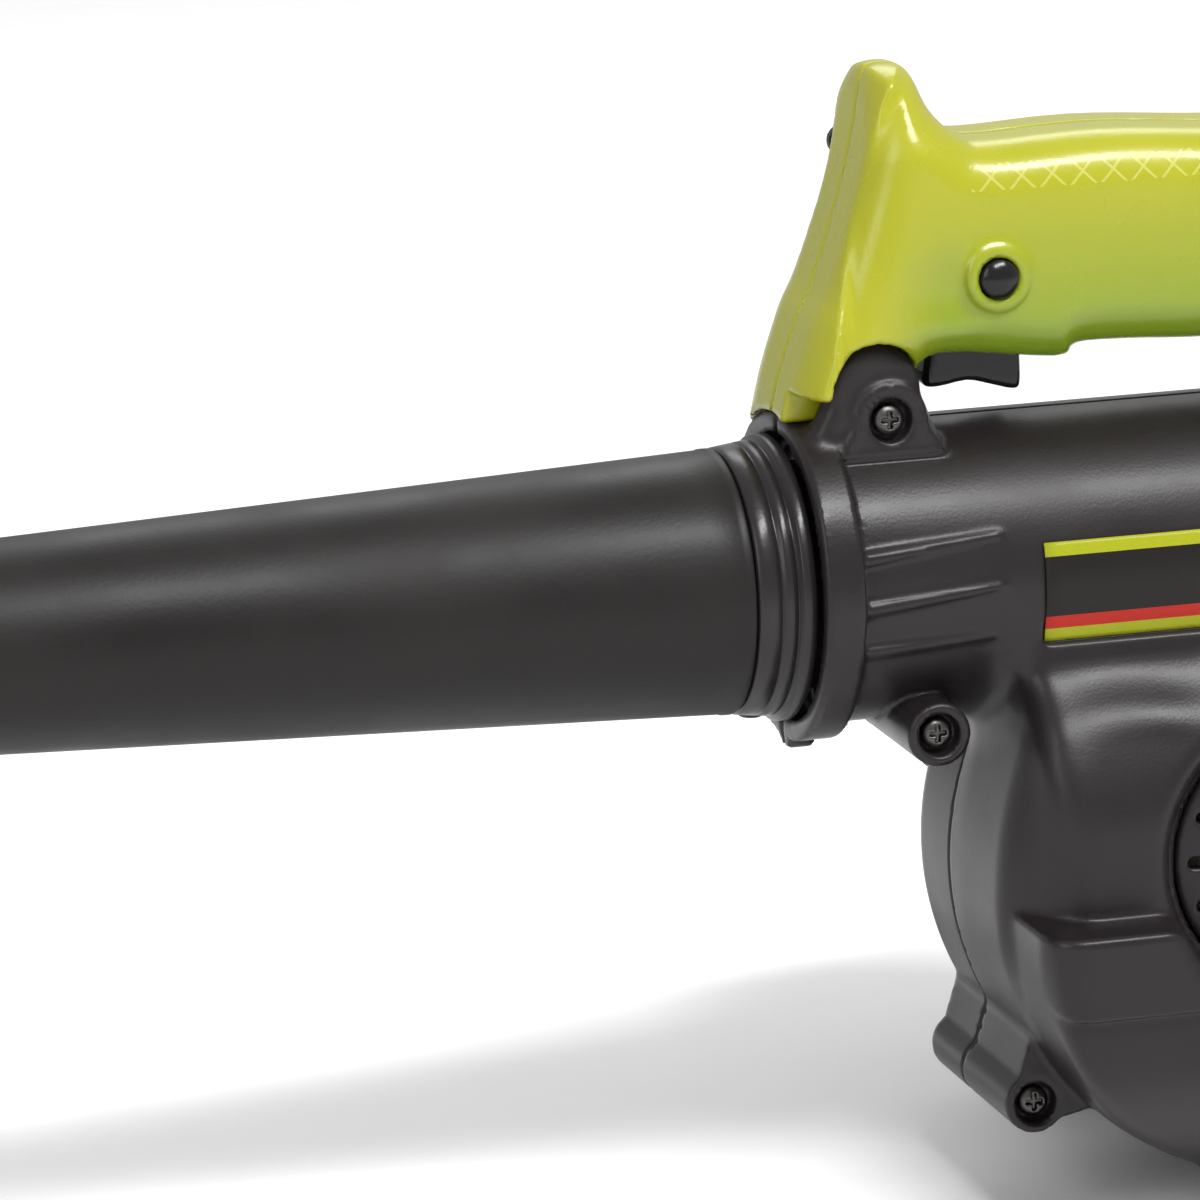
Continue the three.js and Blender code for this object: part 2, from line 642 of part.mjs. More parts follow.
// Outline of the whole loop: nozzle-side face, horn, grip, rear leg, then back along the inside.
// Its heights are above the top of the duct, on which its foot sits.
const HANDLE_OUTLINE = [
  [-96.6, -11],
  [-95.8, 3.8],
  [-90.7, 20.6],
  [-86.7, 29.1],
  [-81.2, 46],
  [-78.3, 58.1],
  [-76.6, 67.5],
  [-74.6, 70.8],
  [-69.4, 70.6],
  [-66.9, 68],
  [-64.6, 61.6],
  [-60, 56.9],
  [-54, 55.3],
  [-31, 56],
  [-7, 54.4],
  [25, 52],
  [46, 47],
  [62, 37],
  [74, 21],
  [HANDLE_REAR, 1],
  [HANDLE_REAR - 2, -23],
  [68, -45],
  [40, -25],
  [50, -9],
  [51, 3],
  [44, 11.5],
  [33, GRIP_UNDER],
  [-7, GRIP_UNDER],
  [-26, GRIP_UNDER + 1],
  [-36.5, GRIP_UNDER + 1],
  [-41, GRIP_UNDER - 1.3],
  [-64.5, GRIP_UNDER + 1.2],
  [-70.2, 8.2],
  [-72, -11],
].map(([x, rise]) => [x, DUCT_TOP + rise]);
// The shield is the front strip of that outline, a little wider than the rest.
const shieldStrip = HANDLE_OUTLINE.slice(0, 9).concat([
  [-86.5 + SHIELD_THICK, DUCT_TOP + 58],
  [-93 + SHIELD_THICK, DUCT_TOP + 33],
  [-94 + SHIELD_THICK, DUCT_TOP + 7],
  [-94 + SHIELD_THICK, DUCT_TOP - 11],
]);

const ductClearance = turnX([
  [0, DUCT_END - RING_LENGTH - 20],
  [RING_R + GAP, DUCT_END - RING_LENGTH - 20],
  [RING_R + GAP, DUCT_END + 1 + GAP],
  [DUCT_R + GAP, DUCT_END + 1 + GAP],
  [DUCT_R + GAP, DUCT_TAIL],
  [0, DUCT_TAIL],
]);
const scrollClearance = slabY(scrollOutline(-GAP), -60, 60);

// The edges are stepped back by one step of the rounding.
function handleSlab(outline, half) {
  const step = HANDLE_ROUND / 4;
  return join(slabY(outline, -half + 2 * step, half - 2 * step), slabY(inset(outline, step), -half, half));
}
const handleWhole = join(
  handleSlab(HANDLE_OUTLINE, GRIP_HALF),
  slabY(shieldStrip, -SHIELD_HALF, SHIELD_HALF),
);
const handleFloor = LUG_Z + LUG_R + HANDLE_WALL;
const humpEnd = HUMP_X + HUMP_R + HANDLE_WALL;
const innerHalf = GRIP_HALF - HANDLE_WALL;
const handleHollow = slabY(inset(HANDLE_OUTLINE, HANDLE_WALL), -innerHalf, innerHalf).intersect(join(
  box(humpEnd, 200, -50, 50, handleFloor, 200),
  box(-90, 200, -50, 50, HUMP_Z + HUMP_R + HANDLE_WALL, 200),
));
const humpRoom = join(
  slabY(humpOutline(GAP), -60, -HUMP_REAR + GAP),
  box(-120, HUMP_X, -60, -HUMP_REAR + GAP, DUCT_Z, HUMP_Z),
  box(-120, HUMP_X + HUMP_BASE_HALF, -60, -HUMP_REAR + GAP, DUCT_Z, HUMP_Z - HUMP_DROP + 1),
);

// Tongues reach down into the saddle's slot, where its screw clamps them.
const tongueSpan = [LUG_X - LUG_R - 6 + GAP, LUG_X + LUG_R - 2 - GAP, -TONGUE_HALF, TONGUE_HALF];
const tongue = box(...tongueSpan, DUCT_Z + DUCT_R - 1 + GAP, handleFloor + 1);
const tongueHole = rodY(SCREW_SHANK_R + GAP, LUG_X, LUG_Z, -20, 20, SMALL_ROUND);

const HANDLE_SCREWS = [
  { name: "screw_handle_horn", at: [-75.5, DUCT_TOP + 53] },
  { name: "screw_handle_front", at: [-28, DUCT_TOP + 21] },
  { name: "screw_handle_middle", at: [14, DUCT_TOP + 46] },
  { name: "screw_handle_rear", at: [66, DUCT_TOP + 11] },
  { name: "screw_handle_leg", at: onScroll(405, 3.9) },
];
const pillarR = RECESS_R + 1.1;
const handlePillars = HANDLE_SCREWS.map(({ at: [x, z] }) =>
  rodY(pillarR, x, z, -innerHalf - 1, innerHalf + 1, ROUND));
const handleBores = HANDLE_SCREWS.map(({ at: [x, z] }) => join(
  rodY(RECESS_R, x, z, GRIP_HALF - RECESS_DEPTH, GRIP_HALF + PAST, ROUND),
  rodY(SCREW_SHANK_R + GAP, x, z, -GRIP_HALF + 5, GRIP_HALF, SMALL_ROUND),
));

// Trigger slot, button bore with its raised ring, and the gland's bore at the rear.
const triggerSlot = box(TRIGGER_FRONT - GAP, TRIGGER_REAR + GAP, -TRIGGER_HALF - GAP, TRIGGER_HALF + GAP,
  DUCT_TOP - 15, TRIGGER_CEILING - 2);
const ringFace = -GRIP_HALF - BUTTON_RING_PROUD;
const buttonRing = rodY(BUTTON_RING_R, BUTTON_X, BUTTON_Z, ringFace, -GRIP_HALF + 2, ROUND);
const buttonBore = rodY(BUTTON_R + GAP, BUTTON_X, BUTTON_Z, -GRIP_HALF - PAST, 0, ROUND);
const glandFace = HANDLE_REAR - 2.5;
const glandBore = rodX(GLAND_NECK_R + GAP, 0, GLAND_Z, 40, HANDLE_REAR + 20, ROUND);
const glandPad = rodX(GLAND_R + 4, 0, GLAND_Z, glandFace - GLAND_IN + GLAND_FLANGE, glandFace, ROUND);

const handleBody = cut(
  join(cut(handleWhole, handleHollow), tongue, buttonRing, glandPad,
    join(handlePillars).intersect(handleWhole)),
  saddle(GAP).subtract(box(...tongueSpan, 0, 200)), humpRoom,
  ductClearance, scrollClearance, tongueHole, triggerSlot, buttonBore, glandBore, handleBores,
);
piece("handle_shell_left", "lime", handleBody.intersect(box(-200, 200, -60, -GAP / 2, -80, 200)));
piece("handle_shell_right", "lime", handleBody.intersect(box(-200, 200, GAP / 2, 60, -80, 200)));

HANDLE_SCREWS.forEach(({ name, at: [x, z] }) => {
  const head = GRIP_HALF - RECESS_DEPTH + SCREW_HEAD_H + GAP;
  piece(name, "steel", screw([x, head, z], [x, -GRIP_HALF + 6, z]));
});

// The trigger slides up into the grip; its flange inside keeps it from falling out.
const triggerOutline = [
  [TRIGGER_FRONT, TRIGGER_FLOOR + 1.2],
  [TRIGGER_FRONT + 6, TRIGGER_FLOOR],
  [TRIGGER_REAR - 3, TRIGGER_FLOOR - 1.4],
  [TRIGGER_REAR, TRIGGER_FLOOR - 0.4],
  [TRIGGER_REAR, TRIGGER_CEILING - 4],
  [TRIGGER_FRONT + 2, TRIGGER_CEILING - 4],
];
const triggerFlange = box(TRIGGER_FRONT + 2, TRIGGER_REAR + 3, -TRIGGER_HALF - 3, TRIGGER_HALF + 3,
  TRIGGER_CEILING - 4.5, TRIGGER_CEILING);
piece("trigger", "gloss_black", join(slabY(triggerOutline, -TRIGGER_HALF, TRIGGER_HALF), triggerFlange));

const pressedTop = TRIGGER_CEILING + TRIGGER_TRAVEL;
const switchFloor = pressedTop + SWITCH_ROOM;
const switchHalf = innerHalf - GAP;
const springX = TRIGGER_FRONT + 7;
const plungerX = TRIGGER_REAR - 4;
piece("switch_body", "gloss_black", join(
  box(TRIGGER_FRONT + 1, TRIGGER_REAR + 20, -switchHalf, switchHalf,
    switchFloor, switchFloor + SWITCH_HEIGHT),
  rodZ(2, plungerX, 0, pressedTop + 1, switchFloor + 1, SMALL_ROUND),
));

class Coil extends THREE.Curve {
  constructor(radius, length, turns) {
    super();
    Object.assign(this, { radius, length, turns });
  }
  getPoint(t) {
    const angle = 2 * Math.PI * this.turns * t;
    return new THREE.Vector3(
      this.radius * Math.cos(angle), this.radius * Math.sin(angle), this.length * t);
  }
}

// A coil spring that runs from one point towards another.
function spring(radius, wire, turns, from, to) {
  const start = new THREE.Vector3(...from);
  const line = new THREE.Vector3(...to).sub(start);
  const ring = new THREE.Shape();
  ring.absarc(0, 0, wire, 0, 2 * Math.PI);
  const length = line.length() - 2 * wire;
  const geometry = new THREE.ExtrudeGeometry(ring, {
    steps: turns * 6,
    curveSegments: 3,
    bevelEnabled: false,
    extrudePath: new Coil(radius - wire, length, turns),
  });
  geometry.translate(0, 0, wire);
  geometry.applyQuaternion(
    new THREE.Quaternion().setFromUnitVectors(new THREE.Vector3(0, 0, 1), line.normalize()));
  geometry.translate(...from);
  return solid(geometry);
}
piece("trigger_spring", "steel",
  spring(TRIGGER_SPRING_R, 0.4, 5, [springX, 0, TRIGGER_CEILING + GAP], [springX, 0, switchFloor - GAP]));

// The lock button is a domed pin; a flange inside the wall keeps it in.
const buttonFace = ringFace - BUTTON_PROUD + 1;
const flangeStart = -innerHalf + GAP;
piece("lock_button", "gloss_black", turnY([
  [0, buttonFace],
  [BUTTON_R * 0.55, buttonFace + 0.5],
  [BUTTON_R * 0.9, buttonFace + 1.6],
  [BUTTON_R, buttonFace + 2.8],
  [BUTTON_R, flangeStart],
  [BUTTON_R + 1.6, flangeStart],
  [BUTTON_R + 1.6, flangeStart + 1.2],
  [1.6, flangeStart + 1.2],
  [1.6, -innerHalf + 4.5],
  [0, -innerHalf + 4.5],
], BUTTON_X, BUTTON_Z));

// Suppressor capacitor in the grip, and the cord's gland with the clamp behind it.
const capacitorFloor = DUCT_TOP + CAPACITOR_RISE;
piece("suppressor_capacitor", "nylon", box(CAPACITOR_X, CAPACITOR_X + CAPACITOR_LENGTH,
  -switchHalf, switchHalf, capacitorFloor, capacitorFloor + CAPACITOR_HEIGHT));

const glandBody = lathe([
  [GLAND_BORE, -GLAND_IN],
  [GLAND_R, -GLAND_IN],
  [GLAND_R, -GLAND_IN + GLAND_FLANGE - GAP],
  [GLAND_NECK_R, -GLAND_IN + GLAND_FLANGE - GAP],
  [GLAND_NECK_R, GAP],
  [GLAND_R, GAP],
  [GLAND_R, GLAND_FLANGE],
  [GLAND_NECK_R - 0.6, GLAND_OUT],
  [GLAND_BORE, GLAND_OUT],
  [GLAND_BORE, -GLAND_IN],
], ROUND);
glandBody.rotateZ(-Math.PI / 2);
glandBody.translate(glandFace, 0, GLAND_Z);
piece("cord_gland", "rubber", solid(glandBody));

piece("cord_clamp", "nylon", cut(
  box(CLAMP_X - CLAMP_HALF, CLAMP_X + CLAMP_HALF, -switchHalf, switchHalf, GLAND_Z - 5, GLAND_Z - 1),
  rodX(3, 0, GLAND_Z + 1, CLAMP_X - CLAMP_HALF - PAST, CLAMP_X + CLAMP_HALF + PAST, ROUND),
));

// ---------- Nozzle ----------

const collarMiddle = (COLLAR_FRONT + COLLAR_REAR) / 2;
const collarUnder = DUCT_Z - COLLAR_R;
piece("nozzle_collar", "gloss_black", join(
  turnX(tubeProfile(COLLAR_BORE, COLLAR_R, COLLAR_FRONT, COLLAR_REAR)),
  turnX(tubeProfile(COLLAR_BORE, NECK_R, COLLAR_FRONT - NECK_LENGTH, COLLAR_FRONT + 1)),
  rodZ(2.6, collarMiddle, 0, collarUnder - 1.6, collarUnder + 1.5, SMALL_ROUND),
));

const socketEnd = COLLAR_FRONT - NECK_LENGTH - GAP;
piece("nozzle", "rubber", turnX([
  [NOZZLE_TIP_R - NOZZLE_WALL, NOZZLE_TIP],
  [NOZZLE_TIP_R - 0.6, NOZZLE_TIP],
  [NOZZLE_TIP_R, NOZZLE_TIP + 1.2],
  [NOZZLE_BASE_R, NOZZLE_BASE - 1],
  [NOZZLE_BASE_R - 0.6, NOZZLE_BASE],
  [NECK_R + GAP, NOZZLE_BASE],
  [NECK_R + GAP, socketEnd],
  [NECK_R - NECK_WALL, socketEnd],
  [NOZZLE_TIP_R - NOZZLE_WALL, NOZZLE_TIP],
]));

// ---------- Motor, fixed pieces ----------

const motorFront = MOTOR_DEPTH + GAP;
const motorRearR = MOTOR_R - MOTOR_TAPER;
const housingBore = (r) => r - WALL;
const statorEnd = STATOR_START + STATOR_LENGTH;
const brushY = COMMUTATOR_START + COMMUTATOR_LENGTH / 2;

function around(count, offset, make) {
  const made = [];
  for (let i = 0; i < count; i += 1) made.push(make(offset + 360 * i / count));
  return made;
}

function radial(degrees, inner, outer, half, y0, y1) {
  const [c, s] = [Math.cos(rad(degrees)), Math.sin(rad(degrees))];
  const corners = [[inner, -half], [outer, -half], [outer, half], [inner, half]];
  return slabY(corners.map(([a, b]) => [a * c - b * s, a * s + b * c]), y0, y1);
}

const motorEars = MOTOR_SCREW_DEG.map((degrees) => {
  const [x, z] = motorScrewAt(degrees);
  const inward = degrees + 180;
  const outline = teardrop(x, z, EAR_R, inward, MOTOR_SCREW_OUT + 1, EAR_R + 2);
  return slabY(outline, motorFront, motorFront + EAR_LENGTH);
});
const motorEarBores = MOTOR_SCREW_DEG.map((degrees) => {
  const [x, z] = motorScrewAt(degrees);
  return rodY(SCREW_SHANK_R + GAP, x, z, motorFront - 1, motorFront + EAR_LENGTH + PAST, SMALL_ROUND);
});
const statorRibs = around(4, 45, (degrees) =>
  radial(degrees, STATOR_R + GAP, MOTOR_R - 1, 2.5, STATOR_START + 1, statorEnd - 1));
const brushPads = rodX(BRUSH_TUBE_R + 2, brushY, 0, -MOTOR_R - 1, MOTOR_R + 1, ROUND)
  .subtract(rodX(BRUSH_TUBE_R + 3, brushY, 0, -motorRearR + 5, motorRearR - 5, ROUND));
const brushHole = rodX(BRUSH_TUBE_R, brushY, 0, -MOTOR_R - PAST, MOTOR_R + PAST, ROUND);
const motorFoot = slabY([
  [-MOTOR_FOOT_HALF, FLOOR],
  [MOTOR_FOOT_HALF, FLOOR],
  [MOTOR_FOOT_HALF - 10, -MOTOR_R + 10],
  [-MOTOR_FOOT_HALF + 10, -MOTOR_R + 10],
], MOTOR_FOOT_PLACE, MOTOR_FOOT_PLACE + MOTOR_FOOT_WIDTH);
const coolingSlots = around(12, 15, (degrees) => radial(degrees, MOTOR_R - 8, MOTOR_R + 5, 1.6,
  motorFront + 8, motorFront + 17)).filter((slot, i) => i !== 8 && i !== 2);
const motorOuter = turnY([
  [0, motorFront],
  [MOTOR_R, motorFront],
  [motorRearR, MOTOR_END],
  [0, MOTOR_END],
], 0, 0, DUCT_ROUND);
const motorInner = turnY([
  [0, motorFront - 1],
  [housingBore(MOTOR_R), motorFront - 1],
  [housingBore(motorRearR), MOTOR_END + 1],
  [0, MOTOR_END + 1],
], 0, 0, DUCT_ROUND);
const capScrewAt = around(3, 90, (degrees) => {
  const radius = housingBore(motorRearR) - 4;
  return [radius * Math.cos(rad(degrees)), radius * Math.sin(rad(degrees))];
});
const capPillars = capScrewAt.map(([x, z]) => rodY(CAP_POST_R, x, z, MOTOR_END - 8, MOTOR_END, SMALL_ROUND)
  .intersect(motorOuter));
const capPillarBores = capScrewAt.map(([x, z]) => rodY(SCREW_SHANK_R + GAP, x, z, MOTOR_END - 20,
  MOTOR_END + 20, SMALL_ROUND));
piece("motor_housing", "casing", cut(
  join(cut(join(motorOuter, motorFoot), motorInner), motorEars,
    statorRibs.map((rib) => rib.intersect(motorOuter)), capPillars, brushPads),
  motorEarBores, capPillarBores, brushHole, coolingSlots, duct(DUCT_R + GAP, DUCT_END),
));
MOTOR_SCREW_DEG.forEach((degrees, i) => {
  const [x, z] = motorScrewAt(degrees);
  const head = motorFront + EAR_LENGTH + SCREW_HEAD_H + GAP;
  piece(`screw_motor_${i + 1}`, "steel", screw([x, head, z], [x, MOTOR_DEPTH - 7, z]));
});

// End cap with the rear bearing's seat and its air slots.
const capStart = MOTOR_END + GAP;
const capEnd = capStart + CAP_LENGTH;
const capOuter = turnY([
  [0, capStart],
  [motorRearR, capStart],
  [motorRearR - 1, capEnd - 5],
  [motorRearR - 5, capEnd],
  [0, capEnd],
], 0, 0, DUCT_ROUND);
const capInner = turnY([
  [0, capStart - 1],
  [housingBore(motorRearR), capStart - 1],
  [housingBore(motorRearR) - 1, capEnd - 5],
  [housingBore(motorRearR) - 4, capEnd - WALL],
  [0, capEnd - WALL],
], 0, 0, DUCT_ROUND);
const rearSeat = REAR_BEARING_R + GAP;
const capHub = turnY(tubeProfile(rearSeat, rearSeat + WALL, REAR_BEARING - 0.5, capEnd - 1));
const hubFloor = rodY(REAR_BEARING_R + 1, 0, 0, REAR_BEARING + REAR_BEARING_W + GAP, capEnd, ROUND);
const capPosts = capScrewAt.map(([x, z]) =>
  rodY(CAP_POST_R, x, z, capStart, capEnd, SMALL_ROUND).intersect(capOuter));
const capSlots = around(9, 10, (degrees) => radial(degrees, 15, 27, 1.5, capEnd - 6, capEnd + 3));
const capHeads = capScrewAt.map(([x, z]) =>
  rodY(CAP_POST_R - 0.5, x, z, capEnd - RECESS_DEPTH, capEnd + PAST, SMALL_ROUND));
piece("motor_end_cap", "casing", cut(
  join(cut(capOuter, capInner), capHub, hubFloor, capPosts), capPillarBores, capHeads, capSlots,
));
capScrewAt.forEach(([x, z], i) => {
  const head = capEnd - RECESS_DEPTH + SCREW_HEAD_H + GAP;
  piece(`screw_cap_${i + 1}`, "steel", screw([x, head, z], [x, MOTOR_END - 9, z]));
});

// The stator is a ring of laminations with two poles; a coil lies around each pole.
const statorBore = ARMATURE_R + AIR_GAP;
const statorRing = turnY(tubeProfile(STATOR_R - YOKE, STATOR_R, STATOR_START, statorEnd), 0, 0, DUCT_ROUND);
const poles = box(-POLE_HALF, POLE_HALF, STATOR_START, statorEnd, -STATOR_R + 2, STATOR_R - 2);
piece("stator_core", "dark_steel", cut(join(statorRing, poles),
  rodY(statorBore, 0, 0, STATOR_START - 1, statorEnd + 1, DUCT_ROUND)));
[["field_coil_upper", 1], ["field_coil_lower", -1]].forEach(([name, side]) => {
  const low = ARMATURE_R + 2.6;
  const high = STATOR_R - YOKE - 1.2;
  const reach = POLE_HALF + GAP;
  const levels = side > 0 ? [low - 8, high] : [-high, -low + 8];
  const outer = box(-reach - COIL_THICK, reach + COIL_THICK, STATOR_START - COIL_THICK - GAP,
    statorEnd + COIL_THICK + GAP, ...levels);
  const inner = box(-reach, reach, STATOR_START - GAP, statorEnd + GAP, levels[0] - 1, levels[1] + 1);
  const limit = turnY(tubeProfile(ARMATURE_R + 2.4, STATOR_R - YOKE - GAP, 0, 100), 0, 0, DUCT_ROUND);
  piece(name, "copper", outer.subtract(inner).intersect(limit));
});

// Bearings: each is an outer ring, an inner ring with its balls' track filled.
function bearing(name, bore, outerR, start, width) {
  const split = (bore + outerR) / 2;
  piece(`${name}_outer_ring`, "steel", turnY(tubeProfile(split + 0.6, outerR, start, start + width)));
  piece(`${name}_inner_ring`, "steel", turnY(tubeProfile(bore + GAP / 2, split + GAP, start, start + width)));
}
bearing("front_bearing", SHAFT_R, FRONT_BEARING_R, FRONT_BEARING, FRONT_BEARING_W);
bearing("rear_bearing", SHAFT_R - 0.5, REAR_BEARING_R, REAR_BEARING, REAR_BEARING_W);

// Brushes: a holder tube on each side, with its carbon, spring and screw cap.
[["left", -1], ["right", 1]].forEach(([name, side]) => {
  const along = (a, b) => (side > 0 ? [a, b] : [-b, -a]);
  const tubeStart = COMMUTATOR_R + 2.5;
  const tubeEnd = MOTOR_R - 3;
  const carbonEnd = tubeStart + BRUSH_LENGTH;
  const half = BRUSH_SIZE / 2;
  const sleeve = rodX(BRUSH_TUBE_R - GAP, brushY, 0, ...along(tubeStart, tubeEnd), ROUND);
  const [x0, x1] = along(tubeStart - 5, tubeEnd + 5);
  const slot = box(x0, x1, brushY - half - GAP, brushY + half + GAP, -half - GAP, half + GAP);
  piece(`brush_holder_${name}`, "nylon", sleeve.subtract(slot));
  const [c0, c1] = along(COMMUTATOR_R + GAP, carbonEnd);
  piece(`carbon_brush_${name}`, "carbon", box(c0, c1, brushY - half, brushY + half, -half, half));
  piece(`brush_spring_${name}`, "steel", spring(half - 0.2, 0.35, 5,
    [side * (carbonEnd + GAP), brushY, 0], [side * (tubeEnd - GAP), brushY, 0]));
  const cap = rodX(BRUSH_TUBE_R - GAP, brushY, 0, ...along(tubeEnd + GAP, MOTOR_R + 0.6), ROUND);
  const [s0, s1] = along(MOTOR_R - 0.8, MOTOR_R + 2);
  piece(`brush_cap_${name}`, "gloss_black", cap.subtract(box(s0, s1, brushY - 5, brushY + 5, -0.7, 0.7)));
});

// ---------- Rotor ----------

const nutStart = IMPELLER_FACE - WASHER_THICK - NUT_HEIGHT - 0.8;
const shaftEnd = REAR_BEARING + REAR_BEARING_W;
piece("rotor_shaft", "steel", turnY([
  [0, nutStart - 1.5],
  [SHAFT_R - 1, nutStart - 1.5],
  [SHAFT_R, nutStart - 0.5],
  [SHAFT_R, REAR_BEARING - GAP],
  [SHAFT_R - 0.5, REAR_BEARING - GAP],
  [SHAFT_R - 0.5, shaftEnd],
  [0, shaftEnd],
]));

const onShaft = SHAFT_R + GAP / 2;
const blades = around(IMPELLER_BLADES, 0, (degrees) => {
  const points = [];
  const ring = (radius, shift) => {
    const angle = rad(degrees - 0.55 * (radius - HUB_R) + shift / radius * 57.3);
    points.push([radius * Math.cos(angle), radius * Math.sin(angle)]);
  };
  const radii = [HUB_R + 8, HUB_R + 20, HUB_R + 31, IMPELLER_R - 0.5];
  radii.forEach((radius) => ring(radius, BLADE_THICK / 2));
  radii.reverse().forEach((radius) => ring(radius, -BLADE_THICK / 2));
  return slabY(points, IMPELLER_FACE, IMPELLER_BACK - 1);
});
const backPlate = turnY([
  [0, IMPELLER_FACE],
  [HUB_R, IMPELLER_FACE],
  [HUB_R + 1.5, IMPELLER_BACK - 2],
  [IMPELLER_R, IMPELLER_BACK - 2],
  [IMPELLER_R, IMPELLER_BACK],
  [0, IMPELLER_BACK],
], 0, 0, DUCT_ROUND);
const impellerBore = rodY(onShaft, 0, 0, IMPELLER_FACE - PAST, IMPELLER_BACK + PAST);
piece("impeller", "nylon", cut(join(backPlate, blades), impellerBore));
const washerRear = IMPELLER_FACE - GAP;
piece("impeller_washer", "steel",
  turnY(tubeProfile(onShaft, WASHER_R, washerRear - WASHER_THICK, washerRear)));
const nutRear = washerRear - WASHER_THICK - GAP;
piece("impeller_nut", "steel", cut(
  rodY(NUT_R, 0, 0, nutRear - NUT_HEIGHT, nutRear, 6),
  rodY(onShaft, 0, 0, nutRear - NUT_HEIGHT - PAST, nutRear + PAST),
));

piece("cooling_fan", "nylon", cut(join(
  rodY(HUB_R - 2, 0, 0, FAN_PLACE, FAN_PLACE + FAN_WIDTH),
  rodY(FAN_R, 0, 0, FAN_PLACE, FAN_PLACE + 1.6, DUCT_ROUND),
  around(9, 0, (degrees) =>
    radial(degrees, HUB_R + 3, FAN_R - 0.5, 0.8, FAN_PLACE + 1, FAN_PLACE + FAN_WIDTH)),
), rodY(onShaft, 0, 0, FAN_PLACE - PAST, FAN_PLACE + FAN_WIDTH + PAST)));

const armatureSlots = around(12, 0, (degrees) => radial(degrees, ARMATURE_R - 7, ARMATURE_R + 2, 1.1,
  STATOR_START - 1, statorEnd + 1));
piece("armature_core", "dark_steel", cut(
  turnY(tubeProfile(onShaft, ARMATURE_R, STATOR_START, statorEnd), 0, 0, DUCT_ROUND), armatureSlots));
const windingBars = around(12, 0, (degrees) => radial(degrees, ARMATURE_R - 6.7, ARMATURE_R - 0.8, 0.8,
  STATOR_START - 2, statorEnd + 2));
const windingEnd = (from) =>
  turnY(tubeProfile(onShaft + 1.5, ARMATURE_R - 1.2, from, from + WINDING_OVERHANG));
const windingEnds = [windingEnd(STATOR_START - GAP - WINDING_OVERHANG), windingEnd(statorEnd + GAP)];
piece("armature_winding", "copper", join(windingEnds, windingBars));
piece("commutator", "copper",
  turnY(tubeProfile(onShaft, COMMUTATOR_R, COMMUTATOR_START, COMMUTATOR_START + COMMUTATOR_LENGTH)));

export default group;
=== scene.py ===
import math

import bpy
import numpy as np
from mathutils import Matrix, Vector


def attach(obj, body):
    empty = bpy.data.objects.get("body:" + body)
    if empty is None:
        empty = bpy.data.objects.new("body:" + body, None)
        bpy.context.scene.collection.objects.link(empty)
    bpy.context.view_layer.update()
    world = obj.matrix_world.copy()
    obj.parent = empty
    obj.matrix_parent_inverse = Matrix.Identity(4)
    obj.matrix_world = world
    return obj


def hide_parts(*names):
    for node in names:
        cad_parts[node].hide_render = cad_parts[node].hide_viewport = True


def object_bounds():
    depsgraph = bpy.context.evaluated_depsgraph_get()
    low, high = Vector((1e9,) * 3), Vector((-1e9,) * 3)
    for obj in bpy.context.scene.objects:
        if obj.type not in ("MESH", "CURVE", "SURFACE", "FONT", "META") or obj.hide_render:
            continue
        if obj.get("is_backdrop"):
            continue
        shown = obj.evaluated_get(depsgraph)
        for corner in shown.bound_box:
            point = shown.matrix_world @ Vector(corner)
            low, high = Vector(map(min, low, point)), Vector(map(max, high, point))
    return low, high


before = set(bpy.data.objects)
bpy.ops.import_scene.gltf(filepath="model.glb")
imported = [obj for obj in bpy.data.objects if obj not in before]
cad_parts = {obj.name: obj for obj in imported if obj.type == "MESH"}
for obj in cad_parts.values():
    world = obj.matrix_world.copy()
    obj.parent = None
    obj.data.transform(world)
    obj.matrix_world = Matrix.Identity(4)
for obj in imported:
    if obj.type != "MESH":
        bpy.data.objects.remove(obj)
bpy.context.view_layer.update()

# ---- Studio -------------------------------------------------------------------------------
# The blower stands on a pale floor under soft lamps, seen from its intake side, a little from
# the nozzle's end and a little above, through a long lens that leaves its ends out of view.

view_azimuth = math.radians(15.6)
view_elevation = math.radians(13.4)
view_roll = math.radians(1.5)
view_distance = 1.6
view_middle = Vector((-0.1190, 0.0439, 0.1171))

ahead = Vector((math.sin(view_azimuth) * math.cos(view_elevation),
                math.cos(view_azimuth) * math.cos(view_elevation),
                -math.sin(view_elevation)))
camera_data = bpy.data.cameras.new("camera")
camera_data.sensor_width = 36.0
camera_data.lens = 240.0
camera_data.clip_end = 50.0
camera = bpy.data.objects.new("camera", camera_data)
bpy.context.collection.objects.link(camera)
camera.location = view_middle - ahead * view_distance
camera.rotation_mode = "QUATERNION"
camera.rotation_quaternion = ahead.to_track_quat("-Z", "Y") @ Matrix.Rotation(
    -view_roll, 3, "Z").to_quaternion()
bpy.context.scene.camera = camera


def lamp(name, place, aim, size, power):
    data = bpy.data.lights.new(name, "AREA")
    data.shape = "RECTANGLE"
    data.size, data.size_y = size
    data.energy = power
    lamp_object = bpy.data.objects.new(name, data)
    bpy.context.collection.objects.link(lamp_object)
    lamp_object.location = place
    lamp_object.rotation_euler = (Vector(aim) - Vector(place)).to_track_quat("-Z", "Y").to_euler()


lamp("key_lamp", (0.22, -0.78, 1.35), (-0.05, 0, 0.12), (1.1, 0.2), 27)
lamp("side_lamp", (-1.5, -0.9, 0.9), (-0.1, 0, 0.12), (0.6, 1.1), 7)
lamp("back_lamp", (0.3, 1.4, 1.4), (0, 0, 0.1), (1.2, 0.6), 9)

world = bpy.data.worlds.new("studio")
bpy.context.scene.world = world
world.use_nodes = True
world.node_tree.nodes["Background"].inputs["Color"].default_value = (1, 1, 1, 1)
world.node_tree.nodes["Background"].inputs["Strength"].default_value = 0.62
bpy.context.scene.view_settings.view_transform = "Standard"


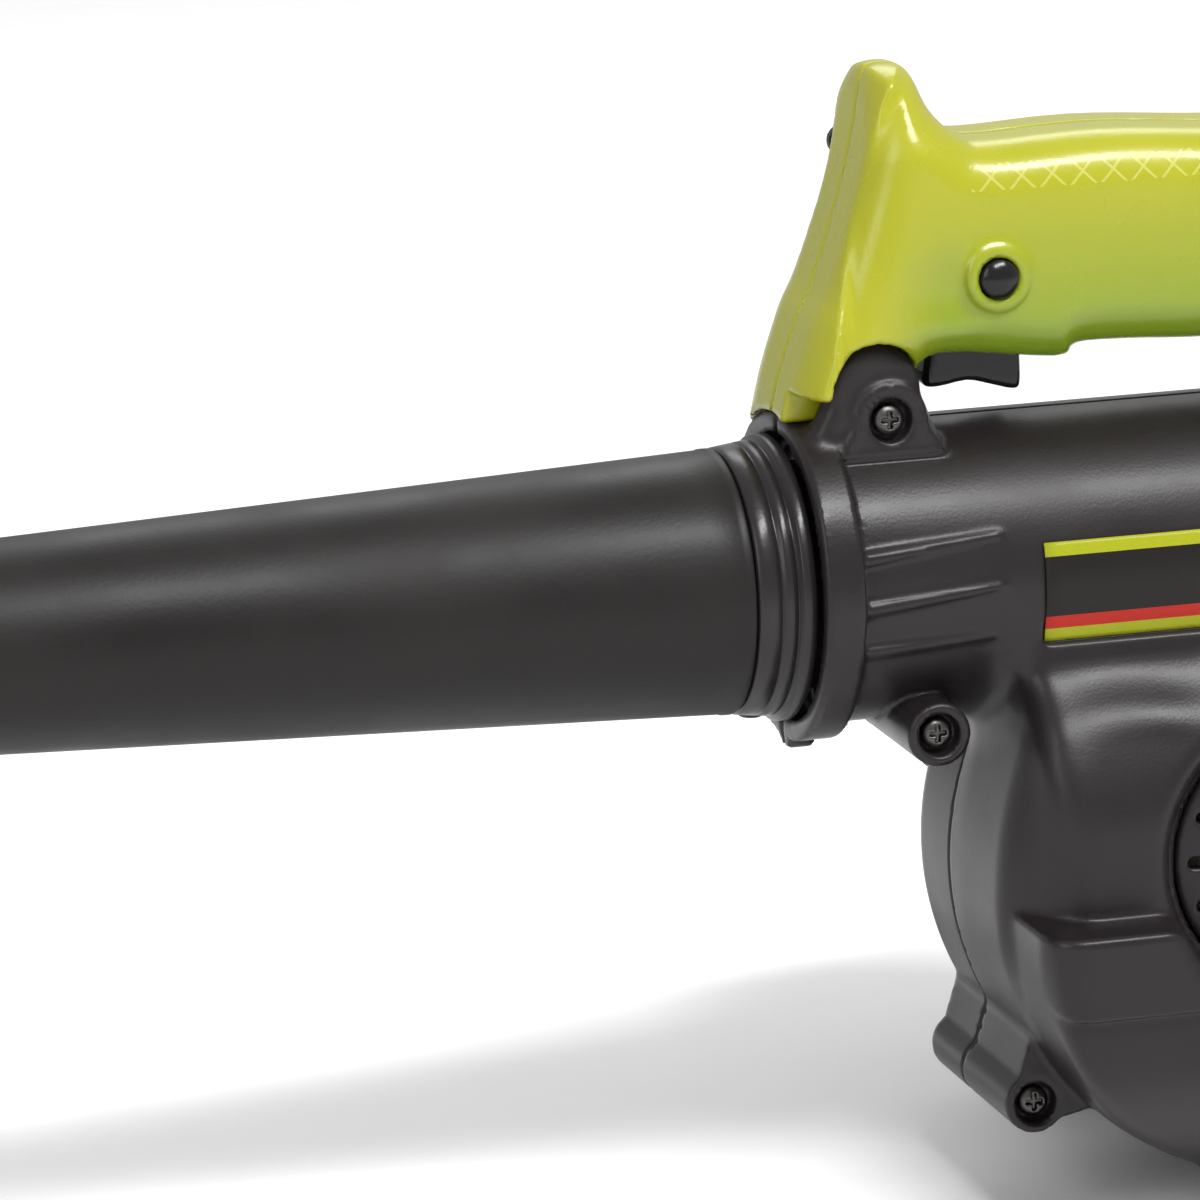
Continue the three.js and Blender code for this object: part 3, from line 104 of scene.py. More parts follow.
def paint(name, roughness):
    """A new material, with its nodes, its links, its shader and its object coordinates."""
    material = bpy.data.materials.new(name)
    material.use_nodes = True
    nodes = material.node_tree.nodes
    shader = nodes["Principled BSDF"]
    shader.inputs["Roughness"].default_value = roughness
    place = nodes.new("ShaderNodeTexCoord").outputs["Object"]
    return material, nodes, material.node_tree.links, shader, place


floor_paint, nodes, links, shader, place = paint("floor_paint", 0.8)
grain = nodes.new("ShaderNodeTexNoise")
grain.inputs["Scale"].default_value = 60.0
tint = nodes.new("ShaderNodeMix")
tint.data_type = "RGBA"
tint.inputs["A"].default_value = (0.93, 0.93, 0.93, 1)
tint.inputs["B"].default_value = (0.96, 0.96, 0.96, 1)
links.new(place, grain.inputs["Vector"])
links.new(grain.outputs["Fac"], tint.inputs["Factor"])
links.new(tint.outputs["Result"], shader.inputs["Base Color"])
bpy.ops.mesh.primitive_plane_add(size=60)
floor = bpy.context.object
floor.name = "floor"
floor.data.materials.append(floor_paint)
floor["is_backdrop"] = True

# ---- Fan casing ---------------------------------------------------------------------------
# Two halves moulded in black plastic meet on the plane of the fan, and five screws hold them.
# A scroll wraps the fan and runs out into a round duct; the intake side carries a raised
# column with a belt across it. Shapes are distances to surfaces, in millimetres from the fan
# axis, negative inside; each piece's skin is laid over the zero of its distance.

fan_height = 74.0
wall, fit = 2.6, 0.3
scroll_start, scroll_growth = 60.6, 0.0905     # radius at 180 degrees, and growth per degree
tongue_angle, dip_angle, dip_depth = 152.0, 70.0, 34.0
intake_depth, motor_depth = 37.0, 24.0
duct_radius, duct_end = 29.5, -88.0
duct_height = scroll_start + scroll_growth * 270 - duct_radius
duct_top = duct_height + duct_radius


def round_join(a, b, reach):
    """The union of two distances, with a fillet about as large as reach."""
    share = np.clip(0.5 + 0.5 * (b - a) / reach, 0, 1)
    return b * (1 - share) + a * share - reach * share * (1 - share)


def round_cut(a, b, reach):
    """The first solid without the second, with the edge rounded by about reach."""
    return -round_join(-a, b, reach)


def soft_overlap(a, b, reach):
    """The overlap of two distances that meet at a blunt angle, with the ridge softened."""
    return -round_join(-a, -b, reach)


def edged(a, b, radius):
    """The overlap of two distances, with their common edge rounded."""
    u, v = a + radius, b + radius
    return np.minimum(np.maximum(u, v), 0) + np.hypot(np.maximum(u, 0), np.maximum(v, 0)) - radius


def span(value, low, high):
    """Distance to the slab between two values."""
    return np.abs(value - (low + high) / 2) - (high - low) / 2


def brick(x, y, z, low, high, radius):
    """A box with rounded edges, from its lowest to its highest corner."""
    a, b, c = (span(p, u, v) + radius for p, u, v in zip((x, y, z), low, high))
    outside = np.sqrt(np.maximum(a, 0) ** 2 + np.maximum(b, 0) ** 2 + np.maximum(c, 0) ** 2)
    return outside + np.minimum(np.maximum(np.maximum(a, b), c), 0) - radius


def bar(x, y, z, at, ends, radius, edge):
    """A round bar along Y at (x, z), between two ends."""
    return edged(np.hypot(x - at[0], z - at[1]) - radius, span(y, *ends), edge)


def outline(x, z, points):
    """Distance to a closed outline in X and Z."""
    nearest, inside = np.inf, False
    for (ax, az), (bx, bz) in zip(points, points[1:] + points[:1]):
        ex, ez = bx - ax, bz - az
        along = np.clip(((x - ax) * ex + (z - az) * ez) / (ex * ex + ez * ez), 0, 1)
        nearest = np.minimum(nearest, (x - ax - ex * along) ** 2 + (z - az - ez * along) ** 2)
        if ez:
            crosses = ((az > z) != (bz > z)) & (x < ax + ex * (z - az) / ez)
            inside = inside ^ crosses
    return np.where(inside, -1, 1) * np.sqrt(nearest)


def drop(at, radius, heading, length, half_base):
    """A round end at a point, with straight flanks that spread towards the given heading."""
    c, s = math.cos(math.radians(heading)), math.sin(math.radians(heading))
    local = [(length, -half_base), (length, half_base)]
    local += [(radius * math.cos(t), radius * math.sin(t))
              for t in np.radians(np.linspace(80, 280, 15))]
    return [(at[0] + c * a - s * b, at[1] + s * a + c * b) for a, b in local]


def smooth_step(low, high, value):
    """Rises from 0 at low to 1 at high, level at both ends."""
    t = np.clip((value - low) / (high - low), 0, 1)
    return t * t * (3 - 2 * t)


def scroll_edge(x, z):
    """Radius of the scroll; between the duct and the tongue it dips under the duct's flank."""
    angle = np.mod(np.degrees(np.arctan2(z, x)), 360)
    wrapped = np.where(angle < dip_angle, angle + 360, angle)
    start, end = (scroll_start + scroll_growth * (a - 180) for a in (dip_angle + 360, tongue_angle))
    share = np.clip((angle - dip_angle) / (tongue_angle - dip_angle), 0, 1)
    dip = start + (end - start) * share - dip_depth * np.sin(math.pi * share) ** 1.5
    return np.where((angle > dip_angle) & (angle < tongue_angle), dip,
                    scroll_start + scroll_growth * (wrapped - 180))


def on_scroll(angle, out):
    """The point outside the scroll at an angle, by so much."""
    radius = scroll_start + scroll_growth * (angle - 180) + out
    return radius * math.cos(math.radians(angle)), radius * math.sin(math.radians(angle))


def duct(x, y, z, radius, front):
    """The round duct, with a domed rear end inside the scroll."""
    across = np.hypot(y, z - duct_height)
    return edged(np.hypot(np.maximum(x - 5, 0), across) - radius, front - x, 0.8)


column_half, column_face, column_foot, column_head = 53.0, -46.5, -22.0, 48.0
lean_start, lean_y, lean_z = 17.5, 0.789, 0.615
belt_half, belt_face, belt_top, belt_foot = 60.0, -58.5, -7.5, -24.3
chin_inset, chin_curve, chin_power = 0.9, 0.042, 1.75
eye_radius, grille_face = 27.0, -38.0


def column(x, y, z):
    """The raised column; at its top the face leans back to the duct's flank."""
    block = brick(x, y, z, (-column_half, column_face, column_foot), (column_half, 0, column_head), 8)
    return soft_overlap(block, -lean_y * (y - column_face) + lean_z * (z - lean_start), 6)


def belt(x, y, z):
    """The belt: a level upper ledge, and a chin below it that curves under the scroll."""
    fence = np.hypot(x, z) - scroll_edge(x, z) + 0.6
    plan = brick(x, y, 0 * z, (-belt_half, belt_face, -40), (belt_half, 40, 40), 10)
    upper = edged(plan, span(z, belt_foot, belt_top), 1.5)
    under = -y + belt_face + chin_inset + chin_curve * np.maximum(belt_foot - z, 0) ** chin_power
    chin = np.maximum(soft_overlap(plan + chin_inset, under, 6), span(z, -70, belt_foot + 6))
    return edged(np.minimum(upper, chin), fence, 3)


lug_at, lug_half, lug_radius = (-76.5, duct_top + 3.1), 17.0, 7.4
lug_outline = drop(lug_at, lug_radius, -90, 7.1, 11)
hump_at, hump_radius = (-79.3, duct_top + 8.6), 9.8
hump_face, hump_rear = -15.5, -8.0
front_boss = (duct_end + 16, duct_height - duct_radius + 2.3)
seam_screws = [
    ("screw_saddle", lug_at, -lug_half, lug_half),
    ("screw_front_boss", front_boss, -30, 18),
    ("screw_lower_boss", on_scroll(222.7, 7.3), -28, 20),
    ("screw_rear_lower_boss", on_scroll(325, 7.3), -28, 20),
    ("screw_rear_upper_boss", on_scroll(368, 7.3), -28, 20),
]
scroll_bosses = seam_screws[2:]
screw_hole, recess_radius, recess_depth = 2.05, 4.3, 3.4
ring_middle, ring_half, ring_bore = 30.45, 2.05, 28.4
ring_front, ring_rear = duct_end - 7, duct_end + 1
sleeve_radius, flange_radius = 22.7, 26.9
label_start, label_end, label_low, label_high = -50.0, -9.0, -21.0, 17.0
motor_radius, motor_end = 38.0, 92.0
motor_screws = [(43.5 * math.cos(math.radians(a)), 43.5 * math.sin(math.radians(a)))
                for a in (35, 145, 215, 325)]


def hump_outline(grow):
    """The saddle's taller inner web, seen along Y."""
    return drop(hump_at, hump_radius + grow, -90, 12.6, 15 + 2 * grow)


def duct_ribs(x, y, z):
    """Three thin ribs along the duct's flank, broad at the ring and dying out behind."""
    solid = np.inf
    for start, end, rear in ((64.0, 66.6, -58.0), (54.1, 56.9, -58.0), (45.2, 47.0, -60.0)):
        share = np.clip((x - duct_end) / (rear - duct_end), 0, 1)
        level = start + (end - start) * share
        thick = 1.5 - 0.8 * share
        off = np.hypot(y, z - duct_height) - duct_radius
        rib = edged(np.hypot(z - level, off * 1.1) - thick, span(x, duct_end, rear), 0.5)
        solid = np.minimum(solid, np.maximum(rib, y))
    return solid


def seam_lugs(x, y, z, skin):
    """The skin with the bosses of the seam's screws, the bayonet's ring and the saddle on it."""
    skin = round_join(skin, bar(x, y, z, front_boss, (-30, 18), 6.3, 0.8), 1.6)
    for _, at, near, far in scroll_bosses:
        inward = math.degrees(math.atan2(-at[1], -at[0]))
        boss = edged(outline(x, z, drop(at, 6.1, inward, 9.9, 11.1)), span(y, near, far), 0.9)
        skin = round_join(skin, boss, 1.0)
    across = np.hypot(y, z - duct_height)
    ring = edged(np.abs(across - ring_middle) - ring_half, span(x, ring_front, ring_rear), 0.9)
    catch = edged(np.hypot(y, z - duct_height + duct_radius + 1) - 4.2,
                  span(x, ring_front + 0.5, ring_rear - 2), 0.8)
    skin = round_join(skin, np.minimum(ring, np.maximum(catch, ring_bore - across)), 0.9)
    saddle = edged(outline(x, z, lug_outline), np.abs(y) - lug_half, 0.8)
    return round_join(skin, saddle, 1.0)


def intake_walls(x, y, z):
    """The dish that leads to the fan's eye, and all that its funnel, eye and bell take up."""
    reach = np.hypot(x, z)
    slope = np.clip((grille_face - y) / 20.5, -0.2, 1.4)
    dish = (np.hypot(x, z - 6 * slope) - eye_radius - 1.5 - 6.5 * slope) * 0.93
    funnel = np.maximum(dish - wall, span(y, -70, grille_face + 3))
    eye = np.maximum(reach - eye_radius - wall - 1.2, span(y, grille_face, -21))
    bell = np.maximum(reach - eye_radius - wall, span(y, -24, -13))
    return dish, np.minimum(np.minimum(funnel, eye), bell)


def casing(side):
    """One half of the casing: the intake's half for side -1, and the motor's for side 1."""
    depth, edge = (intake_depth, 9.0) if side < 0 else (motor_depth, 7.0)

    def field(x, y, z):
        reach = np.hypot(x, z)
        volume = edged(reach - scroll_edge(x, z), np.abs(y) - depth, edge)
        volume = round_join(volume, duct(x, y, z, duct_radius, duct_end), 9)
        if side < 0:
            volume = round_join(volume, column(x, y, z), 10)
            volume = round_join(volume, belt(x, y, z), 1.2)
        across = np.hypot(y, z - duct_height)
        skin = seam_lugs(x, y, z, volume)
        foot = brick(x, y, z, (-10, -28, -fan_height), (45, 28, -52), 1.0)
        skin = round_join(skin, foot, 2.0)
        if side < 0:
            hump = edged(outline(x, z, hump_outline(0)), span(y, hump_face, hump_rear), 3.2)
            skin = round_join(skin, np.maximum(hump, ring_bore - across), 2.2)
            rim = np.maximum(outline(x, z, lug_outline) + 1.0, y + lug_half - 0.5)
            skin = round_cut(skin, rim, 0.3)
            skin = round_join(skin, duct_ribs(x, y, z), 0.8)
        hollow = volume + wall
        for _, at, _, _ in scroll_bosses:
            hollow = np.maximum(hollow, recess_radius + 2.2 - np.hypot(x - at[0], z - at[1]))
        if side < 0:
            dish, walls = intake_walls(x, y, z)
            hollow = np.maximum(hollow, -walls)
        skin = round_cut(skin, hollow, 0.4)
        if side < 0:
            skin = round_cut(skin, np.maximum(dish, y - grille_face), 4.0)
            seat = np.maximum(reach - eye_radius - fit, y - grille_face - 2.4 - fit)
            skin = round_cut(skin, np.minimum(seat, reach - eye_radius + 3), 0.3)
        else:
            hub = bar(x, y, z, (0, 0), (14.0, motor_depth), 13.9, 0.4)
            for at in motor_screws:
                hub = np.minimum(hub, bar(x, y, z, at, (14, motor_depth), 4.7, 0.3))
            skin = np.minimum(skin, hub)
            seat = np.maximum(reach - 11.3, y - 21.9)
            skin = round_cut(skin, np.minimum(seat, reach - 6.5), 0.3)
            for at in motor_screws:
                skin = np.maximum(skin, -bar(x, y, z, at, (16, 40), screw_hole, 0.1))
        for _, at, near, far in seam_screws:
            hole = np.hypot(x - at[0], z - at[1])
            skin = round_cut(skin, np.maximum(hole - recess_radius, y - near - recess_depth), 0.5)
            skin = round_cut(skin, np.maximum(hole - screw_hole, y - far + 2), 0.3)
        if side < 0:
            turn = np.degrees(np.arctan2(z - duct_height, -y))
            bed = np.maximum(duct_radius + 0.2 - across, span(turn, label_low - 0.6, label_high + 0.6) * 0.5)
            skin = np.maximum(skin, -np.maximum(bed, span(x, label_start - 0.4, label_end + 0.4)))
        slot = brick(x, y, z, (lug_at[0] - 13.4, -5, duct_top - 1), (lug_at[0] + 5.4, 5, 120), 0.3)
        skin = round_cut(skin, slot, 0.3)
        sleeve = np.maximum(across - sleeve_radius, x + 75)
        flange = np.maximum(across - flange_radius, span(x, duct_end + 2.6, duct_end + 5.8))
        skin = np.maximum(skin, -np.minimum(sleeve, flange))
        return edged(skin, fit / 2 - side * y, 0.4)
    return field


def mesh_object(name, points, faces):
    """A smooth-shaded object from points in metres and lists of corners."""
    mesh = bpy.data.meshes.new(name)
    mesh.from_pydata(points.tolist(), [], [list(f) for f in faces])
    mesh.polygons.foreach_set("use_smooth", np.ones(len(mesh.polygons), bool))
    mesh.update()
    made = bpy.data.objects.new(name, mesh)
    bpy.context.collection.objects.link(made)
    return made


def lay_skin(name, field, low, high, step):
    """Lays a mesh over the zero of a distance field: one point in each crossed cell, joined
    across each crossed grid line, then moved onto the surface itself."""
    step = step * 1.0
    axes = [np.arange(a, b + step, step) for a, b in zip(low, high)]
    shape = tuple(len(a) for a in axes)
    value = np.empty(shape, np.float32)
    for start in range(0, shape[0], 24):
        rows = slice(start, start + 24)
        part = np.meshgrid(axes[0][rows], axes[1], axes[2], indexing="ij", sparse=True)
        value[rows] = field(*part)
    inside = value < 0
    strides = np.array([shape[1] * shape[2], shape[2], 1])
    cells, places, quads = [], [], []
    for axis in range(3):
        near = tuple(slice(0, -1) if k == axis else slice(None) for k in range(3))
        far = tuple(slice(1, None) if k == axis else slice(None) for k in range(3))
        crossed = np.nonzero(inside[near] != inside[far])
        before, after = value[near][crossed], value[far][crossed]
        index = np.stack(crossed, 1)
        crossing = index.astype(float)
        crossing[:, axis] += before / (before - after)
        corners = []
        for back_a, back_b in ((0, 0), (1, 0), (1, 1), (0, 1)):
            cell = index.copy()
            cell[:, (axis + 1) % 3] -= back_a
            cell[:, (axis + 2) % 3] -= back_b
            corners.append(cell @ strides)
            cells.append(corners[-1])
            places.append(crossing)
        quad = np.stack(corners, 1)
        quads.append(np.where((before < 0)[:, None], quad, quad[:, ::-1]))
    used, number = np.unique(np.concatenate(cells), return_inverse=True)
    places = np.concatenate(places)
    count = np.bincount(number)
    points = np.stack([np.bincount(number, places[:, k]) / count for k in range(3)], 1)
    points = points * step + np.array([a[0] for a in axes])
    faces = np.searchsorted(used, np.concatenate(quads))
    reach = 0.03
    for _ in range(3):
        here = field(*points.T)
        slope = np.stack([(field(*(points + reach * e).T) - field(*(points - reach * e).T))
                          / (2 * reach) for e in np.eye(3)], 1)
        move = -(here / np.maximum((slope ** 2).sum(1), 0.2))[:, None] * slope
        length = np.linalg.norm(move, axis=1, keepdims=True)
        points = points + move * np.minimum(1, 0.35 * step / np.maximum(length, 1e-9))
    points[:, 2] += fan_height
    return mesh_object(name, points * 0.001, faces)


def fit_in(piece, material, body, slot, *nodes_replaced):
    """Gives a piece its material and its body, and hides the CAD nodes it stands for; slot is not used."""
    piece.data.materials.append(material)
    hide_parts(*nodes_replaced)
    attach(piece, body)


def moulded_grain():
    """Node group: the fine grain and the slight unevenness of a moulded skin."""
    group = bpy.data.node_groups.new("moulded_grain", "ShaderNodeTree")
    face = group.interface
    face.new_socket("Place", in_out="INPUT", socket_type="NodeSocketVector")
    face.new_socket("Grain", in_out="INPUT", socket_type="NodeSocketFloat")
    face.new_socket("Relief", in_out="OUTPUT", socket_type="NodeSocketVector")
    face.new_socket("Mottle", in_out="OUTPUT", socket_type="NodeSocketFloat")
    entry, leave = group.nodes.new("NodeGroupInput"), group.nodes.new("NodeGroupOutput")
    fine, broad = group.nodes.new("ShaderNodeTexNoise"), group.nodes.new("ShaderNodeTexNoise")
    fine.inputs["Detail"].default_value = 2.0
    broad.inputs["Scale"].default_value = 38.0
    broad.inputs["Detail"].default_value = 5.0
    bump = group.nodes.new("ShaderNodeBump")
    bump.inputs["Strength"].default_value = 0.25
    bump.inputs["Distance"].default_value = 0.00012
    group.links.new(entry.outputs["Place"], fine.inputs["Vector"])
    group.links.new(entry.outputs["Place"], broad.inputs["Vector"])
    group.links.new(entry.outputs["Grain"], fine.inputs["Scale"])
    group.links.new(fine.outputs["Fac"], bump.inputs["Height"])
    group.links.new(bump.outputs["Normal"], leave.inputs["Relief"])
    group.links.new(broad.outputs["Fac"], leave.inputs["Mottle"])
    return group


grain_group = moulded_grain()


def skin_paint(name, dark, pale, smooth, rough, grain, specular=0.5, metallic=0.0):
    """A moulded plastic or rubber whose colour and gloss drift a little over its surface."""
    material, nodes, links, shader, place = paint(name, rough)
    shader.inputs["Specular IOR Level"].default_value = specular
    shader.inputs["Metallic"].default_value = metallic
    skin = nodes.new("ShaderNodeGroup")
    skin.node_tree = grain_group
    skin.inputs["Grain"].default_value = grain
    colour = nodes.new("ShaderNodeMix")
    colour.data_type = "RGBA"
    colour.inputs["A"].default_value = (*dark, 1)
    colour.inputs["B"].default_value = (*pale, 1)
    gloss = nodes.new("ShaderNodeMapRange")
    gloss.inputs["From Min"].default_value = 0.3
    gloss.inputs["From Max"].default_value = 0.7
    gloss.inputs["To Min"].default_value = smooth
    gloss.inputs["To Max"].default_value = rough
    links.new(place, skin.inputs["Place"])
    links.new(skin.outputs["Mottle"], colour.inputs["Factor"])
    links.new(skin.outputs["Mottle"], gloss.inputs["Value"])
    links.new(colour.outputs["Result"], shader.inputs["Base Color"])
    links.new(gloss.outputs["Result"], shader.inputs["Roughness"])
    links.new(skin.outputs["Relief"], shader.inputs["Normal"])
    return material


casing_paint = skin_paint(
    "casing_paint", (0.0095, 0.0074, 0.0078), (0.0150, 0.0120, 0.0128), 0.30, 0.40, 1500.0,
    specular=0.27)

near_half = lay_skin("casing_near_half", casing(-1), (-97, -61, -75), (92, 1, 107), 1.0)
fit_in(near_half, casing_paint, "casing", "casing", "volute_shell_left")
far_half = lay_skin("casing_far_half", casing(1), (-97, -1, -75), (92, 31, 98), 1.0)
fit_in(far_half, casing_paint, "casing", "casing", "volute_shell_right")

# ---- Handle -------------------------------------------------------------------------------
# A loop handle in two glossy green halves, screwed together from the motor side. Its front is
# a broad shield that ends in a horn; its foot sits over the duct behind the casing's saddle.

handle_rises = [
    (-96.6, -11), (-95.8, 4), (-90.7, 20.6), (-86.7, 29.1), (-81.2, 46), (-78.3, 58.1),
    (-76.6, 67.3), (-74.6, 70.2), (-69.4, 70.1), (-66.9, 67.6), (-64.6, 61.6), (-60, 56.9),
    (-54, 55.3), (-31, 56), (-7, 54.4), (25, 52), (46, 47), (62, 37), (74, 21), (80, 1),
    (78, -23), (68, -45), (40, -25), (50, -9), (51, 3), (44, 11.5), (33, 13), (-7, 13),
    (-26, 14), (-36.5, 14), (-41, 11.7), (-64.5, 14.2), (-70.2, 8.2), (-72, -11)]


def rounded_loop(points, parts):
    """A closed line of short chords that bends smoothly through the points."""
    loop = []
    for i, p in enumerate(points):
        before, after = points[i - 1], points[(i + 1) % len(points)]
        beyond = points[(i + 2) % len(points)]
        for t in (k / parts for k in range(parts)):
            loop.append(tuple(
                p[k] + t * 0.5 * ((after[k] - before[k])
                + t * (2 * before[k] - 5 * p[k] + 4 * after[k] - beyond[k])
                + t * t * (-before[k] + 3 * p[k] - 3 * after[k] + beyond[k])) for k in (0, 1)))
    return loop


handle_loop = rounded_loop([(x, duct_top + rise) for x, rise in handle_rises], 4)
shield_back = [(-77.5, 58), (-84, 33), (-85, 7), (-85, -11)]
shield_loop = rounded_loop([(x, duct_top + rise) for x, rise in handle_rises[:9] + shield_back], 3)
grip_half, shield_half, handle_wall = 18.0, 20.5, 3.0
handle_floor = lug_at[1] + lug_radius + handle_wall
button_at, button_hole = (-55.0, duct_top + 29.9), 4.1
gland_height, gland_hole_radius = duct_top + 23, 5.5
post_radius, post_hole_start = 5.4, -9.0
trigger_front, trigger_rear, trigger_top = -66.4, -46.5, duct_top + 22
handle_screws = [
    ("screw_handle_horn", (-75.5, duct_top + 53)), ("screw_handle_front", (-28, duct_top + 21)),
    ("screw_handle_middle", (14, duct_top + 46)), ("screw_handle_rear", (66, duct_top + 11)),
    ("screw_handle_leg", on_scroll(405, 3.9))]


def handle(side):
    """One half of the handle: the near one for side -1, and the motor's for side 1."""
    def field(x, y, z):
        loop = outline(x, z, handle_loop)
        shield = smooth_step(-1.5, 4.0, -outline(x, z, shield_loop))
        narrow = smooth_step(duct_top + (60 if side > 0 else 53), duct_top + 73, z)
        half = grip_half + (shield_half - grip_half) * shield - 8 * narrow
        skin = edged(loop, np.abs(y) - half, 10.0 - 3.5 * shield)
        if side < 0:
            ring = bar(x, y, z, button_at, (-grip_half - 1.2, -10), 6.4, 1.0)
            scoop = np.sqrt((x - button_at[0] + 9) ** 2 + (y + grip_half + 18.8) ** 2
                            + (z - button_at[1] + 3) ** 2) - 20
            skin = round_join(round_cut(skin, scoop, 2.0), ring, 2.0)
        hump_wall = hump_radius + handle_wall
        over = np.where(x < hump_at[0] + hump_wall, hump_at[1] + hump_wall, handle_floor)
        hollow = np.maximum(edged(loop + handle_wall, np.abs(y) - half + handle_wall, 6.0), over - z)
        posts = np.inf
        for _, (px, pz) in handle_screws:
            posts = np.minimum(posts, np.hypot(x - px, z - pz) - post_radius)
        skin = np.maximum(skin, -np.maximum(hollow, -posts))
        gland_pad = np.maximum(np.hypot(y, z - gland_height) - 10.6, span(x, 63.5, 77.5))
        skin = np.minimum(skin, np.maximum(gland_pad, loop - 2))
        across = np.hypot(y, z - duct_height)
        skin = round_cut(skin, np.maximum(across - 32.8, x + 86.7), 0.5)
        skin = round_cut(skin, np.maximum(across - duct_radius - fit, x - 5), 0.5)
        skin = round_cut(skin, np.hypot(x, z) - scroll_edge(x, z) - fit, 0.5)
        lug_room = edged(outline(x, z, lug_outline), np.abs(y) - lug_half, 0.5) - fit
        tongue = brick(x, y, z, (-89.6, -4.7, duct_top - 0.7), (-71.4, 4.7, handle_floor + 1), 0.3)
        skin = np.minimum(round_cut(skin, lug_room, 0.5), tongue)
        if side < 0:
            room = np.minimum(outline(x, z, hump_outline(fit)),
                              np.maximum(x - hump_at[0], z - hump_at[1]))
            room = np.minimum(room, np.maximum(x + 64.3, z - hump_at[1] + 11.6))
            skin = round_cut(skin, np.maximum(room, y - hump_rear - fit), 0.8)
        slot = brick(x, y, z, (trigger_front - fit, -6.8, duct_top - 15),
                     (trigger_rear + fit, 6.8, trigger_top - 2), 0.4)
        skin = round_cut(skin, slot, 0.5)
        press_hole = np.hypot(x - button_at[0], z - button_at[1]) - button_hole
        skin = round_cut(skin, np.maximum(press_hole, y), 0.5)
        gland_hole = np.maximum(np.hypot(y, z - gland_height) - gland_hole_radius, 60 - x)
        skin = round_cut(skin, gland_hole, 0.4)
        saddle_hole = np.hypot(x - lug_at[0], z - lug_at[1]) - screw_hole
        skin = np.maximum(skin, -saddle_hole)
        for _, (px, pz) in handle_screws:
            hole = np.hypot(x - px, z - pz)
            recess = np.maximum(hole - recess_radius, grip_half - recess_depth - y)
            skin = round_cut(skin, recess, 0.5)
            skin = np.maximum(skin, -np.maximum(hole - screw_hole, post_hole_start - y))
        return edged(skin, fit / 2 - side * y, 0.4)
    return field


handle_paint = skin_paint(
    "handle_paint", (0.275, 0.282, 0.006), (0.315, 0.312, 0.008), 0.22, 0.32, 900.0)

# The grip is painted darker and greener towards its foot as painted shade, and a row of small crosses stands
# on the near flank as a grip texture, with a painted highlight on their lines.
nodes, links = handle_paint.node_tree.nodes, handle_paint.node_tree.links
shader = nodes["Principled BSDF"]
colour_socket = shader.inputs["Base Color"]
pigment = colour_socket.links[0].from_socket
relief_socket = shader.inputs["Normal"]
relief = relief_socket.links[0].from_socket
axes = nodes.new("ShaderNodeSeparateXYZ")
links.new(nodes["Texture Coordinate"].outputs["Object"], axes.inputs["Vector"])


def reckon(operation, first, second=0.0):
    """A maths node in the handle's material, from two sockets or numbers."""
    step = nodes.new("ShaderNodeMath")
    step.operation = operation
    for socket, value in zip(step.inputs, (first, second)):
        if isinstance(value, float):
            socket.default_value = value
        else:
            links.new(value, socket)
    return step.outputs["Value"]


# Painted shade: below a height, the grip's colour is mixed towards a darker green, standing in for the shade
# on its lower flanks; the shield in front keeps its colour.
painted_shade_top, painted_shade_bottom = 0.206, 0.172
shield_ends, grip_starts = -0.080, -0.066
cross_half_pitch, cross_row, cross_half, cross_line = 0.0031, 0.2085, 0.0025, 0.0004
row_front, row_side = -0.060, -0.006
painted_shade_fall = nodes.new("ShaderNodeMapRange")
painted_shade_fall.inputs["From Min"].default_value = painted_shade_top
painted_shade_fall.inputs["From Max"].default_value = painted_shade_bottom
tint = nodes.new("ShaderNodeMix")
tint.data_type = "RGBA"
tint.inputs["B"].default_value = (0.135, 0.215, 0.008, 1)
links.new(axes.outputs["Z"], painted_shade_fall.inputs["Value"])
behind = nodes.new("ShaderNodeMapRange")
behind.inputs["From Min"].default_value = shield_ends
behind.inputs["From Max"].default_value = grip_starts
links.new(axes.outputs["X"], behind.inputs["Value"])
painted_shade_share = reckon("MULTIPLY", painted_shade_fall.outputs["Result"], behind.outputs["Result"])
links.new(painted_shade_share, tint.inputs["Factor"])
links.new(pigment, tint.inputs["A"])

cross_x = reckon("PINGPONG", axes.outputs["X"], cross_half_pitch)
cross_z = reckon("ABSOLUTE", reckon("SUBTRACT", axes.outputs["Z"], cross_row))
line = reckon("LESS_THAN", reckon("ABSOLUTE", reckon("SUBTRACT", cross_x, cross_z)), cross_line)
in_row = reckon("LESS_THAN", cross_z, cross_half)
from_front = reckon("GREATER_THAN", axes.outputs["X"], row_front)
near_side = reckon("LESS_THAN", axes.outputs["Y"], row_side)
on_flank = reckon("MULTIPLY", from_front, near_side)
crosses = reckon("MULTIPLY", reckon("MULTIPLY", line, in_row), on_flank)
# Painted highlight: the cross lines are mixed a little towards a pale yellow, standing in for the glints of
# light on the raised crosses.
painted_cross_highlight = nodes.new("ShaderNodeMix")
painted_cross_highlight.data_type = "RGBA"
painted_cross_highlight.inputs["B"].default_value = (0.62, 0.60, 0.20, 1)
links.new(reckon("MULTIPLY", crosses, 0.3), painted_cross_highlight.inputs["Factor"])
links.new(tint.outputs["Result"], painted_cross_highlight.inputs["A"])
links.new(painted_cross_highlight.outputs["Result"], colour_socket)
raised = nodes.new("ShaderNodeBump")
raised.inputs["Strength"].default_value = 1.0
raised.inputs["Distance"].default_value = 0.0008
links.new(crosses, raised.inputs["Height"])
links.new(relief, raised.inputs["Normal"])
links.new(raised.outputs["Normal"], relief_socket)

